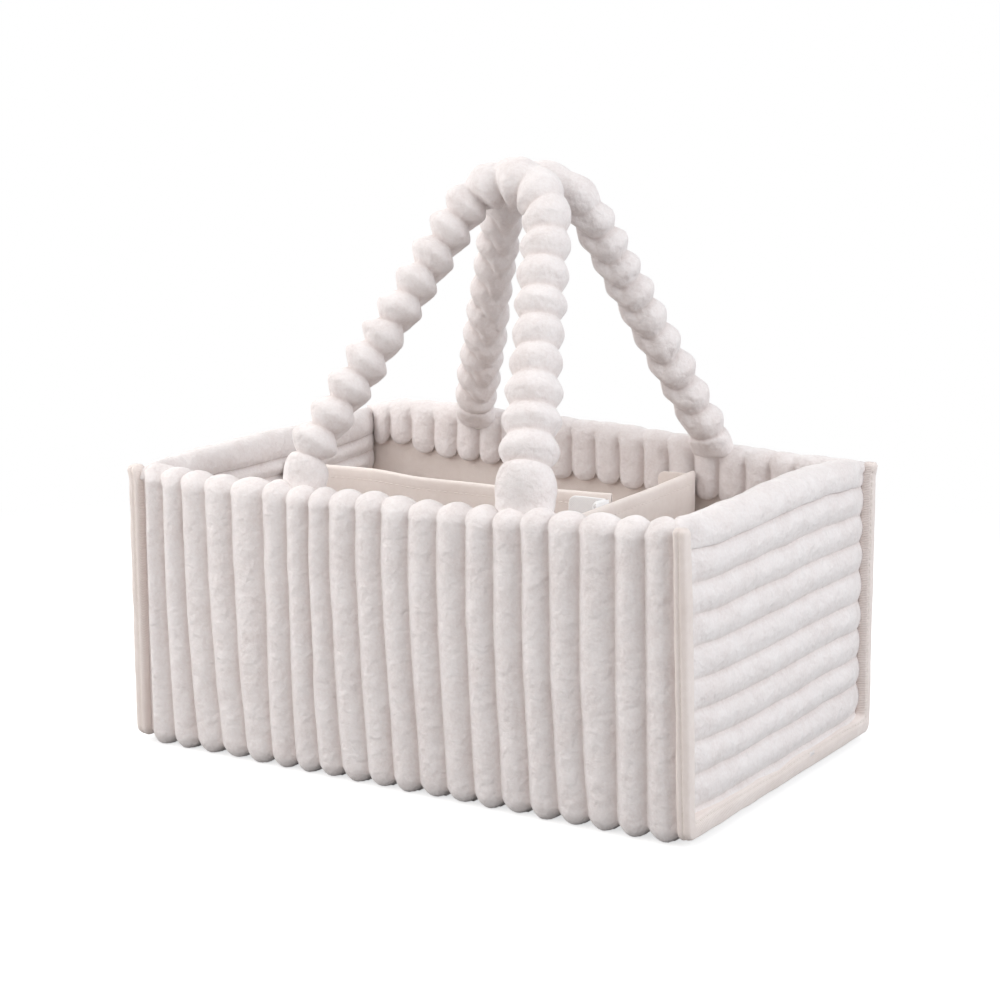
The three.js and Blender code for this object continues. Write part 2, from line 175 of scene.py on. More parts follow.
# Reach of the tongues' rounded tips, and the share of their height that is left at the very edge
TIP = 8
TIP_SHARE = 0.15
# How gently the tongues are pressed flat where the dividers' ends pass them, and the turn where that begins
FACING_PRESS = 0.5
PRESS_FROM = 0.6 * math.pi

# Rows and columns of the walls' meshes
RIB_COLUMNS = 16
BACK_COLUMNS = 4
HEEL_ROWS = 12
FACE_ROWS = 88
ROLL_ROWS = 26
FACING_ROWS = 26
END_RIB_ROWS = 14
END_ROLL_ROWS = 40
END_COLUMNS = 97
END_BACK_STEP = 4
SOLE_ROWS = 73

# Boards and linings: the pitch of their meshes, and their thickness at the very edge as a share
BOARD_PITCH = 7
BASE_BOARD_PITCH = 10
LINING_PITCH = 3
FLOOR_PITCH = 4
EDGE_STEPS = 4
EDGE_SHARE = 0.25
# How slack the linings hang, with ripples that are long upright, and how far their sides and top hold them
LINING_SLACK = 0.9
LONG_RIPPLES = [(0.9, 55)]
SHORT_RIPPLES = [(0.35, 22)]
LINING_STRETCH = (1, 1, 0.5)
LINING_SIDE_HOLD = 30
LINING_TOP_HOLD = 20
# How far the floor's cloth rises, and how far clear of the dividers it starts to and does so in full
FLOOR_SLACK = 0.5
FLOOR_RIPPLES = [(0.5, 60), (0.2, 24)]
FLOOR_CLEAR = 4
FLOOR_FREE = 14

# Bindings: how far below the rim the posts end at the front and at the back, and how far their ends flare
BINDING_DROP = {"left": (1, 3), "right": (4, 1)}
BINDING_FLARE = {"left": (1.6, 0.4), "right": (0, 1.4)}
FLARE_REACH = 10
BINDING_DEPTH = 8.6
POST_WIDTH = 8.6
BAND_WIDTH = 12.6
BINDING_LIFT = 4
BINDING_CORNER = 6
BINDING_FILLET = 1.5
BINDING_STEP = 2
CORNER_STEPS = 12
# Section of a binding: its rounded edge, and its lips that turn in to the plush
BINDING_EDGE = 2.2
EDGE_TURNS = 7
BINDING_LIP = 5.6
LIP_REACH = 2.2
FACE_STEPS = 12
# Sink of each face, and the height, place and width of the ridge beside its stitches
SIDE_FACE = (0.6, 0.9, 0.66, 0.1)
END_FACE = (0.5, 0.7, 0.74, 0.09)
SINK_POWER = 0.7
# Three points that close the section inside: their insets from its edges and their depths
CLOSING_INSETS = (0.4, 0.6, 0.2)
CLOSING_DEPTHS = (7.4, 8.2, 7.2)
# How far the inner edge waves on the posts and along the band, where the band begins, and the waves' size
POST_WAVE = 0.5
BAND_WAVE = 1.0
BAND_FROM = (160, 190)
TAPE_WAVE_SIZE = 31
TAPE_LUMPS = [(0.35, 12)]
# Share of the section that is left at the posts' ends, its reach, and how blunt they are
POST_END = 0.5
POST_END_REACH = 2.5
POST_END_BLUNT = 0.3
# Points of the binding's section that its two rows of stitches run along
STITCH_COLUMNS = (7, 25)
STITCH_PITCH = 4.2
STITCH_LENGTH = 2.9
STITCH_THICKNESS = 0.75
STITCH_SIDES = 6
# Rings of a stitch: place along it and width, as shares
STITCH_RINGS = [(-0.5, 0.3), (-0.36, 1), (0.36, 1), (0.5, 0.3)]

# Handles: where they turn, where their feet stand along the rim, and where their tops meet
HINGES = {
    joint["child"]: np.array(joint["pos_m"]) / MM for joint in frame["joints"] if joint["type"] == "hinge"
}
FEET = {"front_handle": (-74.5, 78), "back_handle": (-88, 88)}
APEX_X = 14
CAD_BEAD = 28
HANDLE_GAP = 0.3
APEX_Y = (CAD_BEAD + HANDLE_GAP) / 2
# Radius of the arch, reach of the bends at the feet, lift above the turning point, and how deep the feet sit
ARCH_RADIUS = 32
FOOT_BEND = 12
HANDLE_LIFT = 4.5
FOOT_SINKS = {"front_handle": (8, 8), "back_handle": (0.5, 7)}
# Reach over which the feet are pressed flat and level, and the lengths of the left and the right one
FOOT_LEVEL = 26
FOOT_LENGTHS = {"front_handle": (20, 27), "back_handle": (19, 19)}
# Pitch of the beads, the roundness of their crests, and the power that makes the feet slimmer as it grows
BEAD_PITCH = 18.8
BEAD_ROUND = 0.42
FOOT_FULLNESS = 0.62
# Shares by which the beads differ in length and in width, and how oval they are
PITCH_JITTER = 0.09
BEAD_PLUMP = 0.1
BEAD_OVAL = 0.03
# How far the beads tilt, over what length that changes, and how far apart its two draws lie
BEAD_TILT = 1.6
TILT_SIZE = 30
TILT_APART = 200
# Width of the necks as a share of the beads', by share of the way from the left foot to the right one
NECKS = {
    "front_handle": [(0, 0.56), (0.12, 0.48), (0.4, 0.48), (0.6, 0.74), (0.9, 0.74), (1, 0.62)],
    "back_handle": [(0, 0.86), (0.1, 0.78), (0.5, 0.74), (0.6, 0.66), (0.92, 0.66), (1, 0.9)],
}
# Width of the beads by share of the way from the left foot to the right one
BEAD_WIDTHS = {
    "front_handle": [(0, 29), (0.08, 29), (0.4, 27), (0.55, 29), (0.75, 30), (0.9, 34), (1, 36)],
    "back_handle": [(0, 27), (0.12, 28.5), (0.3, 27), (0.5, 26.5), (0.9, 27), (1, 28)],
}
# Relief that is left under the widest part of the left foot and of the right one
FOOT_FLOORS = {"front_handle": (1, 0.95), "back_handle": (0.4, 1)}
# Share of the depth of the tube that is lost where its feet are pressed flat and sewn
FOOT_FLATS = {"front_handle": 0.45, "back_handle": 0.3}
# How far the feet stand in from the middle of the roll
FOOT_BACKS = {"front_handle": 6.5, "back_handle": 0}
# Share of the width that is left at the very end of a foot, and its reach
FOOT_END = 0.8
FOOT_EDGE = 4
# Share of the beads' relief that the bend of the arch stretches out, and its reach to both sides
ARCH_STRETCH = 0.7
ARCH_REACH = 62
# Pleats: their height, the share of it lost on the beads' crests, their size, and their draw-out along
PLEAT = 0.35
PLEAT_LOSS = 0.5
PLEAT_SIZE = 2.6
PLEAT_STRETCH = (0.22, 1, 1)
NAP_RADIUS = 12
# Seam: its turn from the loop's outside by way of the underside
SEAM_TURNS = {"front_handle": 0.5 * math.pi, "back_handle": 0.75 * math.pi}
# Turns from the seam between which the beads slant to meet at it, and the relief that is left there
SEAM_SLANT = (0.95, 0.05)
SEAM_FLOOR = 0.5
CORE_SHARE = 0.38
# Steps of a handle's mesh
TUBE_SIDES = 72
TUBE_STEP = 1.0
ARCH_STEPS = 60
LEG_STEPS = 60
FOOT_STEPS = 20
SMOOTHING_PASSES = 60

# Dividers: the stitched hem, its groove and the depths in the sleeve where that fades in, and the padding
HEM = 7
HEM_GROOVE = 0.15
HEM_GROOVE_WIDTH = 0.7
GROOVE_DEPTHS = (0.8, 1.6)
HEM_SPAN = 2.4
HEM_ROWS = 13
HEM_INSET = 0.015
HEM_POINTS = 160
HEM_STITCH_RISE = 0.05
DIVIDER_PADS = [(0.35, 30)]
PAD_REACH = 12
SLEEVE_PITCH = 2.4
STIFFENER_PITCH = 8
# Cross divider: how far it bows and where along it, and its top's height at the front and back, and its sag
CROSS_BOW = 1.4
CROSS_BOW_FROM = (0.55, 0.8)
CROSS_TOP = (-2.5, 3.0)
CROSS_SAG = 4
# Long divider: how far it bows and how far from its ends, and its top's height by share of its length
LONG_BOW = 2.4
LONG_BOW_EASE = 0.3
LONG_DIVIDER_TOP = [(0, 2.2), (0.27, 2.8), (0.43, 0.9), (0.64, 1.6), (0.93, 3.4), (1, 3.8)]
# Tabs: their free ends stand off a little
TAB_THICKNESS = 1.5
TAB_BEND = 2.6
TAB_CORNER = 5
TAB_LIFT = 0.4
TAB_LIFT_REACH = 9
TAB_EDGE = 0.35
TAB_BEND_STEPS = 8
TAB_CORNER_STEPS = 7
TAB_LEG_STEPS = 10
TAB_ROWS = 25
PATCH_PITCH = 1.5

# Seeds of the pieces, and offsets from them
RIB_SEEDS = {"front": 31, "back": 32}
LONG_SEEDS = {"front": 100, "back": 200}
END_SEEDS = {"left": 300, "right": 400}
HANDLE_SEEDS = {"front_handle": 500, "back_handle": 600}
SOLE_SEED = 70
LINING_SEED = 81
FLOOR_SEED = 91
DIVIDER_SEED = 41
TILT_SEED = 3
WAVE_SEED = 5
PLEAT_SEED = 7
NAP_SEED = 10
TAPE_SEED = 50

# Materials, as linear colours: of the plush, and the dark and the light tone of each other cloth
PLUSH_SHADE = (0.73, 0.66, 0.645)
PLUSH_MID = (0.80, 0.745, 0.735)
PLUSH_LIT = (0.85, 0.81, 0.805)
# Painted shade: the plush is multiplied down to this colour where its relief is low, in the valleys, and up
# to white on the crests
PLUSH_PAINTED_VALLEY_SHADE = (0.90, 0.87, 0.855)
PLUSH_CREST = (1, 1, 1)
CANVAS_TONES = ((0.80, 0.71, 0.665), (0.905, 0.835, 0.795))
TAPE_TONES = ((0.74, 0.645, 0.605), (0.885, 0.81, 0.775))
HOOK_TONES = ((0.85, 0.84, 0.845), (0.94, 0.935, 0.94))
FOAM_TONES = ((0.80, 0.79, 0.77), (0.90, 0.89, 0.87))
FIBRE_TONES = ((0.80, 0.78, 0.73), (0.93, 0.91, 0.87))
THREAD_TONES = ((0.70, 0.61, 0.55), (0.84, 0.78, 0.73))
SHEEN_ROUGHNESS = 0.5

# Stage, in metres: the floor keeps the shadow up to the first reach and is white from the second one
FLOOR_HALF = 6.0
FLOOR_GREY = (0.5, 0.5, 0.5, 1)
FLOOR_GLOW = 0.66
FLOOR_BOUNCE = (0.4, 0.4, 0.4, 1)
SHADOW_REACH = (0.35, 0.9)
WHITE = (1, 1, 1, 1)
AMBIENT = 0.48
WARM = (1.0, 0.985, 0.97)
COOL = (0.93, 0.965, 1.0)
LAMP_AIM = (0, 0, 0.12)
# Lamps: azimuth, elevation, distance, size, power and colour
LAMPS = {
    "key": (-65, 35, 1.2, 0.9, 6.5, WARM),
    "left": (-120, 25, 2.0, 1.3, 14, WARM),
    "right": (94, 26, 2.0, 1.3, 24, COOL),
    "front": (-15, 20, 1.2, 0.8, 4.0, WARM),
    "top": (20, 72, 1.6, 1.2, 4.5, WARM),
}

# Camera
CAMERA_AT = (0.69467, -1.12462, 0.398)
CAMERA_YAW = -31.829
CAMERA_PITCH = -10.517
CAMERA_LENS = 78.59
SENSOR = 36


def noise(points, size, seed):
    """Smooth noise from -1 to 1 at some points, with lumps of about that size."""
    cells = 32
    table = np.random.default_rng(seed).uniform(-1, 1, (cells, cells, cells))
    place = np.asarray(points, float) / size
    cell = np.floor(place).astype(int)
    part = place - cell
    weight = part * part * (3 - 2 * part)
    total = 0
    for corner in np.ndindex(2, 2, 2):
        share = np.prod(np.where(np.array(corner) == 1, weight, 1 - weight), axis=-1)
        index = (cell + corner) % cells
        total = total + share * table[index[..., 0], index[..., 1], index[..., 2]]
    return total


def lumpy(points, layers, seed):
    """Sum of layers of noise, each given by its height and the size of its lumps."""
    return sum(height * noise(points, size, seed + number) for number, (height, size) in enumerate(layers))


def ease(value, start, stop):
    """Smooth step from 0 at start to 1 at stop."""
    share = np.clip((value - start) / (stop - start), 0, 1)
    return share * share * (3 - 2 * share)


def bell(distance, reach):
    """Factor that falls from 1 at no distance towards 0, as a bell curve does."""
    return np.exp(-((distance / reach) ** 2))


def through(pairs, place):
    """Smooth curve through (place, value) pairs, level at each of them."""
    at, values = np.array(pairs, float).T
    index = np.clip(np.searchsorted(at, place) - 1, 0, len(at) - 2)
    return values[index] + ease(place, at[index], at[index + 1]) * (values[index + 1] - values[index])


def round_over(distance, reach):
    """Factor that rises from 0 at an edge to 1 at some reach from it, as a quarter circle does."""
    return np.sqrt(np.maximum(0, 1 - (1 - np.clip(distance / reach, 0, 1)) ** 2))


def run_along(line):
    """Distance along a line of points from its first one."""
    return np.concatenate([[0], np.cumsum(np.linalg.norm(np.diff(line, axis=0), axis=1))])


def from_ends(run):
    """Distance along a line from the nearer one of its ends."""
    return np.minimum(run, run[-1] - run)


def joined(*parts):
    """Points, or cloth values, from their three parts."""
    return np.stack(np.broadcast_arrays(*parts), axis=-1)


# Meshes

def quads(grid):
    """Faces of a grid of point numbers."""
    parts = (grid[:-1, :-1], grid[:-1, 1:], grid[1:, 1:], grid[1:, :-1])
    return np.stack([part.ravel() for part in parts], axis=1).tolist()


def closed_sheet(front, back):
    """Points and faces of a closed sheet. The back has a column at every nth column of the front."""
    rows, columns = front.shape[:2]
    backs = back.shape[1]
    step = (columns - 1) // (backs - 1)
    outer = np.arange(rows * columns).reshape(rows, columns)
    inner = rows * columns + np.arange(rows * backs).reshape(rows, backs)
    faces = quads(outer) + quads(inner[:, ::-1])
    for edge in (0, -1):
        faces += quads(np.stack([outer[:, edge], inner[:, edge]], axis=1))
        for part in range(backs - 1):
            rim = outer[edge, part * step:(part + 1) * step + 1].tolist()
            faces.append(rim + [int(inner[edge, part + 1]), int(inner[edge, part])])
    points = np.concatenate([front.reshape(-1, 3), back.reshape(-1, 3)])
    return points, faces


def closed_tube(rings):
    """Points and faces of a tube with flat ends."""
    count, sides = rings.shape[:2]
    numbers = np.arange(count * sides).reshape(count, sides)
    around = np.concatenate([numbers, numbers[:, :1]], axis=1)
    faces = quads(around) + [numbers[0].tolist(), numbers[-1].tolist()]
    return rings.reshape(-1, 3), faces


def make_piece(name, points, faces, material, body, cloth=None):
    """Mesh piece on a body. Cloth holds each point's place on the cloth, and its relief."""
    mesh = bpy.data.meshes.new(name)
    mesh.from_pydata((points * MM).tolist(), [], faces)
    work = bmesh.new()
    work.from_mesh(mesh)
    bmesh.ops.recalc_face_normals(work, faces=work.faces)
    work.to_mesh(mesh)
    work.free()
    mesh.polygons.foreach_set("use_smooth", np.ones(len(mesh.polygons), bool))
    if cloth is not None:
        attribute = mesh.attributes.new("cloth", "FLOAT_VECTOR", "POINT")
        attribute.data.foreach_set("vector", np.asarray(cloth, np.float32).ravel())
    mesh.materials.append(material)
    made = bpy.data.objects.new(name, mesh)
    bpy.context.scene.collection.objects.link(made)
    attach(made, body)
    return made


# Materials

def add_node(tree, kind, inputs=None, **settings):
    """Shader node with its settings, its input values and its links."""
    made = tree.nodes.new("ShaderNode" + kind)
    for key, value in settings.items():
        setattr(made, key, value)
    for key, value in (inputs or {}).items():
        if isinstance(value, bpy.types.NodeSocket):
            tree.links.new(value, made.inputs[key])
        else:
            made.inputs[key].default_value = value
    return made


def start_material(name, roughness, sheen, specular):
    """Material with the even finish of a cloth on its shader."""
    made = bpy.data.materials.new(name)
    made.use_nodes = True
    tree = made.node_tree
    shader = tree.nodes["Principled BSDF"]
    shader.inputs["Roughness"].default_value = roughness
    shader.inputs["Sheen Weight"].default_value = sheen
    shader.inputs["Sheen Roughness"].default_value = SHEEN_ROUGHNESS
    shader.inputs["Specular IOR Level"].default_value = specular
    return made, tree, shader


def colours(tree, factor, stops):
    """Colour ramp through (place, colour) stops."""
    ramp = add_node(tree, "ValToRGB", {"Fac": factor})
    elements = ramp.color_ramp.elements
    stops = list(stops)
    while len(elements) < len(stops):
        elements.new(1.0)
    for element, (place, colour) in zip(elements, stops):
        element.position = place
        element.color = (*colour, 1)
    return ramp.outputs["Color"]


def multiply_colours(tree, first, second):
    made = add_node(tree, "MixRGB", {"Fac": 1.0, "Color1": first, "Color2": second}, blend_type="MULTIPLY")
    return made.outputs["Color"]


def maths(tree, operation, first, second=0.0, third=0.0):
    return add_node(tree, "Math", {0: first, 1: second, 2: third}, operation=operation).outputs[0]


def weighted(tree, *pairs):
    """Sum of values, each times its weight."""
    total = 0.0
    for value, weight in pairs:
        total = maths(tree, "MULTIPLY_ADD", value, weight, total)
    return total


def lumps(tree, vector, scale, detail, roughness, distortion=0.0):
    inputs = {
        "Vector": vector, "Scale": scale, "Detail": detail, "Roughness": roughness, "Distortion": distortion,
    }
    return add_node(tree, "TexNoise", inputs).outputs["Fac"]


def cloth_places(tree):
    """Object coordinates, and the places across and along the cloth with its relief."""
    place = add_node(tree, "TexCoord").outputs["Object"]
    cloth = add_node(tree, "Attribute", attribute_name="cloth").outputs["Vector"]
    split = add_node(tree, "SeparateXYZ", {0: cloth})
    return place, split.outputs["X"], split.outputs["Y"], split.outputs["Z"]


def add_bump(tree, shader, height, strength, distance):
    bump = add_node(tree, "Bump", {"Strength": strength, "Distance": distance, "Height": height})
    tree.links.new(bump.outputs["Normal"], shader.inputs["Normal"])


def plush_material():
    """Short dense pile: brushed nap, with painted shade that makes it darker and warmer in the valleys, and
    fine tufts.
    """
    made, tree, shader = start_material("plush", roughness=0.95, sheen=0.4, specular=0.12)
    place, _, _, relief = cloth_places(tree)
    brushed = lumps(tree, place, scale=70, detail=3, roughness=0.55)
    clumps = lumps(tree, place, scale=170, detail=1, roughness=0.4, distortion=0.4)
    tufts = lumps(tree, place, scale=620, detail=3, roughness=0.6, distortion=0.3)
    fibres = lumps(tree, place, scale=1700, detail=2, roughness=0.5)
    tone = weighted(tree, (brushed, 0.5), (tufts, 0.5))
    nap = colours(tree, tone, [(0.3, PLUSH_SHADE), (0.5, PLUSH_MID), (0.72, PLUSH_LIT)])
    # Painted shade: darker and warmer plush in the ribs' valleys, the tongues' tips and the beads' necks, set
    # by the relief
    painted_valley_shade = colours(tree, relief, [(0.0, PLUSH_PAINTED_VALLEY_SHADE), (0.45, PLUSH_CREST)])
    tree.links.new(multiply_colours(tree, nap, painted_valley_shade), shader.inputs["Base Color"])
    height = weighted(tree, (clumps, 1.0), (tufts, 0.25), (fibres, 0.15))
    add_bump(tree, shader, height, strength=0.75, distance=0.002)
    return made


def woven_material(name, tones, thread, diagonal, roughness, sheen):
    """Woven cloth with threads of some width in millimetres, as plain weave or as diagonal twill."""
    made, tree, shader = start_material(name, roughness, sheen, specular=0.2)
    place, across, along, _ = cloth_places(tree)

    def threads(run):
        return maths(tree, "SINE", maths(tree, "MULTIPLY", run, math.pi / thread))

    if diagonal:
        wave = threads(maths(tree, "ADD", across, along))
    else:
        wave = maths(tree, "MULTIPLY", threads(across), threads(along))
    slubs = lumps(tree, place, scale=260, detail=3, roughness=0.6)
    clouds = lumps(tree, place, scale=24, detail=3, roughness=0.5)
    shade = weighted(tree, (slubs, 0.4), (wave, 0.12), (clouds, 0.6))
    tree.links.new(colours(tree, shade, zip((0.25, 0.8), tones)), shader.inputs["Base Color"])
    add_bump(tree, shader, weighted(tree, (wave, 1.0), (slubs, 0.6)), strength=0.35, distance=0.0003)
    return made


def foamy_material(name, tones, cell, roughness):
    """Foam, loose fibre or thread, with cells or strands of some size in millimetres."""
    made, tree, shader = start_material(name, roughness, sheen=0.1, specular=0.2)
    place = add_node(tree, "TexCoord").outputs["Object"]
    cells = add_node(tree, "TexVoronoi", {"Vector": place, "Scale": 1 / (cell * MM)}).outputs["Distance"]
    clouds = lumps(tree, place, scale=60, detail=3, roughness=0.6)
    tone = weighted(tree, (clouds, 0.6), (cells, 0.5))
    tree.links.new(colours(tree, tone, zip((0.2, 0.8), tones)), shader.inputs["Base Color"])
    add_bump(tree, shader, cells, strength=0.4, distance=0.0004)
    return made


PLUSH_CLOTH = plush_material()
CANVAS = woven_material("canvas", CANVAS_TONES, thread=0.55, diagonal=False, roughness=0.9, sheen=0.15)
TAPE = woven_material("tape", TAPE_TONES, thread=0.8, diagonal=True, roughness=0.85, sheen=0.2)
HOOK_TAPE = woven_material("hook_tape", HOOK_TONES, thread=0.7, diagonal=False, roughness=0.7, sheen=0.1)
FOAM = foamy_material("foam", FOAM_TONES, cell=1.2, roughness=0.8)
STUFFING = foamy_material("stuffing", FIBRE_TONES, cell=0.6, roughness=1.0)
THREAD = foamy_material("thread", THREAD_TONES, cell=0.4, roughness=0.8)
CANVAS_THREAD = foamy_material("canvas_thread", CANVAS_TONES, cell=0.4, roughness=0.8)


# Walls

def place_wall(wall, across, outward, up):
    """Points of a wall from their place across it, outward from the middle of the box, and up."""
    side = -1 if wall in ("front", "left") else 1
    if wall in ("front", "back"):
        return joined(across, side * outward, up)
    return joined(side * outward, across, up)


def settle(points, wall):
    """Points of a wall or the base, moved as the soft box has slumped: its rim waves and its ends lean."""
    high = np.clip(points[..., 2] / RIM, 0, 1)
    moved = points.copy()
    if wall in RIM_RISE:
        along = points[..., 0] if wall in ("front", "back") else points[..., 1]
        moved[..., 2] += through(RIM_RISE[wall], along) * high ** 2
    deep = (points[..., 1] + HALF_DEPTH) / (2 * HALF_DEPTH)
    for side, way in (("left", -1), ("right", 1)):
        near = np.clip((way * points[..., 0] - SWAY_FROM) / (HALF_LENGTH - SWAY_FROM), 0, 1) ** 2
        foot, rim = [front + deep * (back - front) for front, back in SWAY[side]]
        moved[..., 0] += way * near * (foot + high * (rim - foot))
    return moved


def arc(centre_out, centre_up, radius, start, stop, steps):
    """Rows of a backing round an arc: place outward and up, and the way that it faces."""
    angle = np.radians(np.linspace(start, stop, steps))
    outward = centre_out + radius * np.cos(angle)
    return np.column_stack([outward, centre_up + radius * np.sin(angle), angle])


def straight(first, last, steps):
    """Rows of a backing between two rows, without them."""
    return np.linspace(first, last, steps + 2)[1:-1]


def rib_columns(wall):
    """Columns across a long wall: place, rib number, and place in the rib from -1 to 1."""
    widths = 1 + RIB_JITTER * np.random.default_rng(RIB_SEEDS[wall]).uniform(-1, 1, LONG_RIBS)
    widths *= 2 * LONG_HALF / widths.sum()
    turn = np.linspace(0, np.pi, RIB_COLUMNS + 1)[:-1]
    edges = np.concatenate([[0], np.cumsum(widths)]) - LONG_HALF
    rib = np.repeat(np.arange(LONG_RIBS), RIB_COLUMNS)
    inside = np.tile(-np.cos(turn), LONG_RIBS)
    at = edges[rib] + (inside + 1) / 2 * widths[rib]
    return np.append(at, edges[-1]), np.append(rib, LONG_RIBS - 1), np.append(inside, 1)


def half_round(inside):
    """Height of a half-round rib across its width, from 0 to 1."""
    return np.sqrt(np.maximum(0, 1 - inside ** 2))


def soft_rib(inside, fullness):
    """Height of a soft rib across its width, from 0 to 1."""
    return np.maximum(0, 1 - inside ** 2) ** fullness


def on_rim(angle):
    """Factor that is 1 on top of a wall's roll and 0 down both of its sides."""
    return ease(angle, *TOP_BEGINS) * ease(angle, *TOP_ENDS)


def wall_points(wall, at, outward, up, angle):
    """Points of a wall's plush, drawn in to the rim's mitred corners or reaching over the bindings there."""
    if wall in LONG_SEEDS:
        half, reach, overhang = LONG_HALF, HALF_DEPTH, LONG_OVERHANG
    else:
        half, reach, overhang = END_HALF, HALF_LENGTH, END_OVERHANG
    share = at / half
    drawn = overhang * on_rim(angle) - np.maximum(0, reach - PLY - outward)
    across = at + np.sign(share) * drawn * np.abs(share) ** MITRE_DRAW
    return settle(place_wall(wall, across, outward, up), wall)


def nap(points, relief, seed):
    """Unevenness of a plush surface, which is less in its valleys."""
    return (VALLEY_NAP + (1 - VALLEY_NAP) * relief) * lumpy(points, NAP, seed + NAP_SEED)


def relief_cloth(count, relief):
    """Cloth values of a plush piece's points, of which the first ones have relief, which also masks the
    painted valley shade.
    """
    values = np.zeros((count, 3))
    values[:relief.size, 2] = relief.ravel()
    return values


def plush_piece(name, front, back, relief, node):
    """Closed plush sheet in place of a CAD panel."""
    points, faces = closed_sheet(front, back)
    cloth = relief_cloth(len(points), relief)
    made = make_piece(name, points, faces, PLUSH_CLOTH, "shell", cloth)
    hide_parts(node)


def long_backing(tip):
    """Backing of a long wall: places outward and up, way it faces, and height above the facing's tips."""
    heel = arc(HALF_DEPTH - PLY - HEEL, PLY + HEEL, HEEL, -90, 0, HEEL_ROWS)
    roll = arc(HALF_DEPTH - ROLL, ROLL_UP, ROLL - PLY, 0, 180, ROLL_ROWS)
    rows = np.vstack([heel, straight(heel[-1], roll[0], FACE_ROWS), roll])
    hang = np.sin(np.linspace(0, np.pi / 2, FACING_ROWS))[1:, None]
    up = np.vstack([np.repeat(rows[:, 1:2], len(tip), axis=1), ROLL_UP + hang * (tip - ROLL_UP)])
    outward = np.concatenate([rows[:, 0], np.full(len(hang), rows[-1, 0])])[:, None] + 0 * up
    angle = np.concatenate([rows[:, 2], np.full(len(hang), np.pi)])[:, None] + 0 * up
    above_tip = np.full(up.shape, float(TIP))
    above_tip[len(rows):] = up[len(rows):] - tip
    return outward, up, angle, above_tip


def long_relief(wall, at, inside, angle, above_tip):
    """Relief of a long wall's ribs from 0 to 1, which is less beside the bindings and at the tips."""
    dome = TIP_SHARE + (1 - TIP_SHARE) * round_over(above_tip, TIP)
    outside = np.maximum(0, np.sin(angle)) ** ROLL_FADE
    on_top = np.where(angle < np.pi / 2, outside, ease(angle, np.pi, FACING_FROM))
    beside = bell(LONG_HALF - np.abs(at), END_GROOVE)
    valley = 1 - soft_rib(inside, LONG_FULLNESS) * (1 - GROOVE_SHARE * beside)
    return (1 - (1 - (1 - ROLL_VALLEYS[wall]) * on_top) * valley) * dome


def long_wall(wall, seed):
    """Plush of a long wall: from under the base, up, over the rim and down inside in rounded tongues."""
    at, rib, inside = rib_columns(wall)
    rng = np.random.default_rng(seed)
    uneven = rng.uniform(-TONGUE_JITTER, TONGUE_JITTER, LONG_RIBS)[rib]
    plump = (1 + rng.uniform(-LONG_PLUMP, LONG_PLUMP, LONG_RIBS))[rib]
    tip = through(FACING_EDGE[wall], at) + uneven + TONGUE * (1 - half_round(inside))
    outward, up, angle, above_tip = long_backing(tip)
    relief = long_relief(wall, at, inside, angle, above_tip)

    lean = through(LEAN[wall], at) * (1 - np.clip(1 - up / FULL_LEAN_UP, 0, 1) ** LEAN_EASE)
    flat = joined(at, outward, up)
    free = 1 - (np.abs(at) / LONG_HALF) ** EDGE_HOLD
    placed = at + lean + free * lumpy(flat, LONG_WAVES, seed + WAVE_SEED)
    rise = LONG_VALLEY + (LONG_CREST - LONG_VALLEY) * plump * relief
    height = rise + relief * lumpy(flat, NAP, seed + NAP_SEED)
    proud = FACING_PRESS * np.logaddexp(0, (height - PLY) / FACING_PRESS)
    height = height - ease(angle, PRESS_FROM, np.pi) * proud
    top = np.maximum(0, up + height * np.sin(angle))
    front = wall_points(wall, placed, outward + height * np.cos(angle), top, angle)
    back = wall_points(wall, placed, outward, up, angle)[:, ::RIB_COLUMNS // BACK_COLUMNS]
    plush_piece(f"{wall}_wall", front, back, relief, f"{wall}_panel")


def rib_rows(valleys, outward, angle, first):
    """Rows of the ribs between some valleys of an end wall, numbered from the first one."""
    turn = -np.cos(np.linspace(0, np.pi, END_RIB_ROWS + 1))[:-1]
    rows = []
    for number, (start, stop) in enumerate(zip(valleys, valleys[1:]), first):
        heights = start + (turn + 1) / 2 * (stop - start)
        rows += [(outward, up, angle, inside, number) for up, inside in zip(heights, turn)]
    return rows


def end_rows():
    """Rows of an end wall: place outward and up, way it faces, place in its rib from -1 to 1, and its rib."""
    outer = HALF_LENGTH - PLY
    inner = HALF_LENGTH - 2 * ROLL + PLY
    rows = rib_rows(END_VALLEYS, outer, 0, 0)
    rise = ROLL_UP - END_VALLEYS[-1]
    length = 2 * rise + np.pi * (ROLL - PLY)
    count = len(END_VALLEYS)
    for share in (1 - np.cos(np.linspace(0, np.pi, END_ROLL_ROWS))[:-1]) / 2:
        run = share * length
        inside = 2 * share - 1
        if run < rise:
            rows.append((outer, END_VALLEYS[-1] + run, 0, inside, count))
        elif run > length - rise:
            rows.append((inner, INSIDE_VALLEYS[0] + length - run, np.pi, inside, count))
        else:
            angle = (run - rise) / (ROLL - PLY)
            out = HALF_LENGTH - ROLL + (ROLL - PLY) * np.cos(angle)
            rows.append((out, ROLL_UP + (ROLL - PLY) * np.sin(angle), angle, inside, count))
    rows += rib_rows(INSIDE_VALLEYS, inner, np.pi, count + 1)
    rows.append((inner, INSIDE_VALLEYS[-1], np.pi, 1, count + len(INSIDE_VALLEYS) - 1))
    rows = np.array(rows, float)
    return rows[rows[:, 1] > BAND_TOP - BAND_OVERLAP]


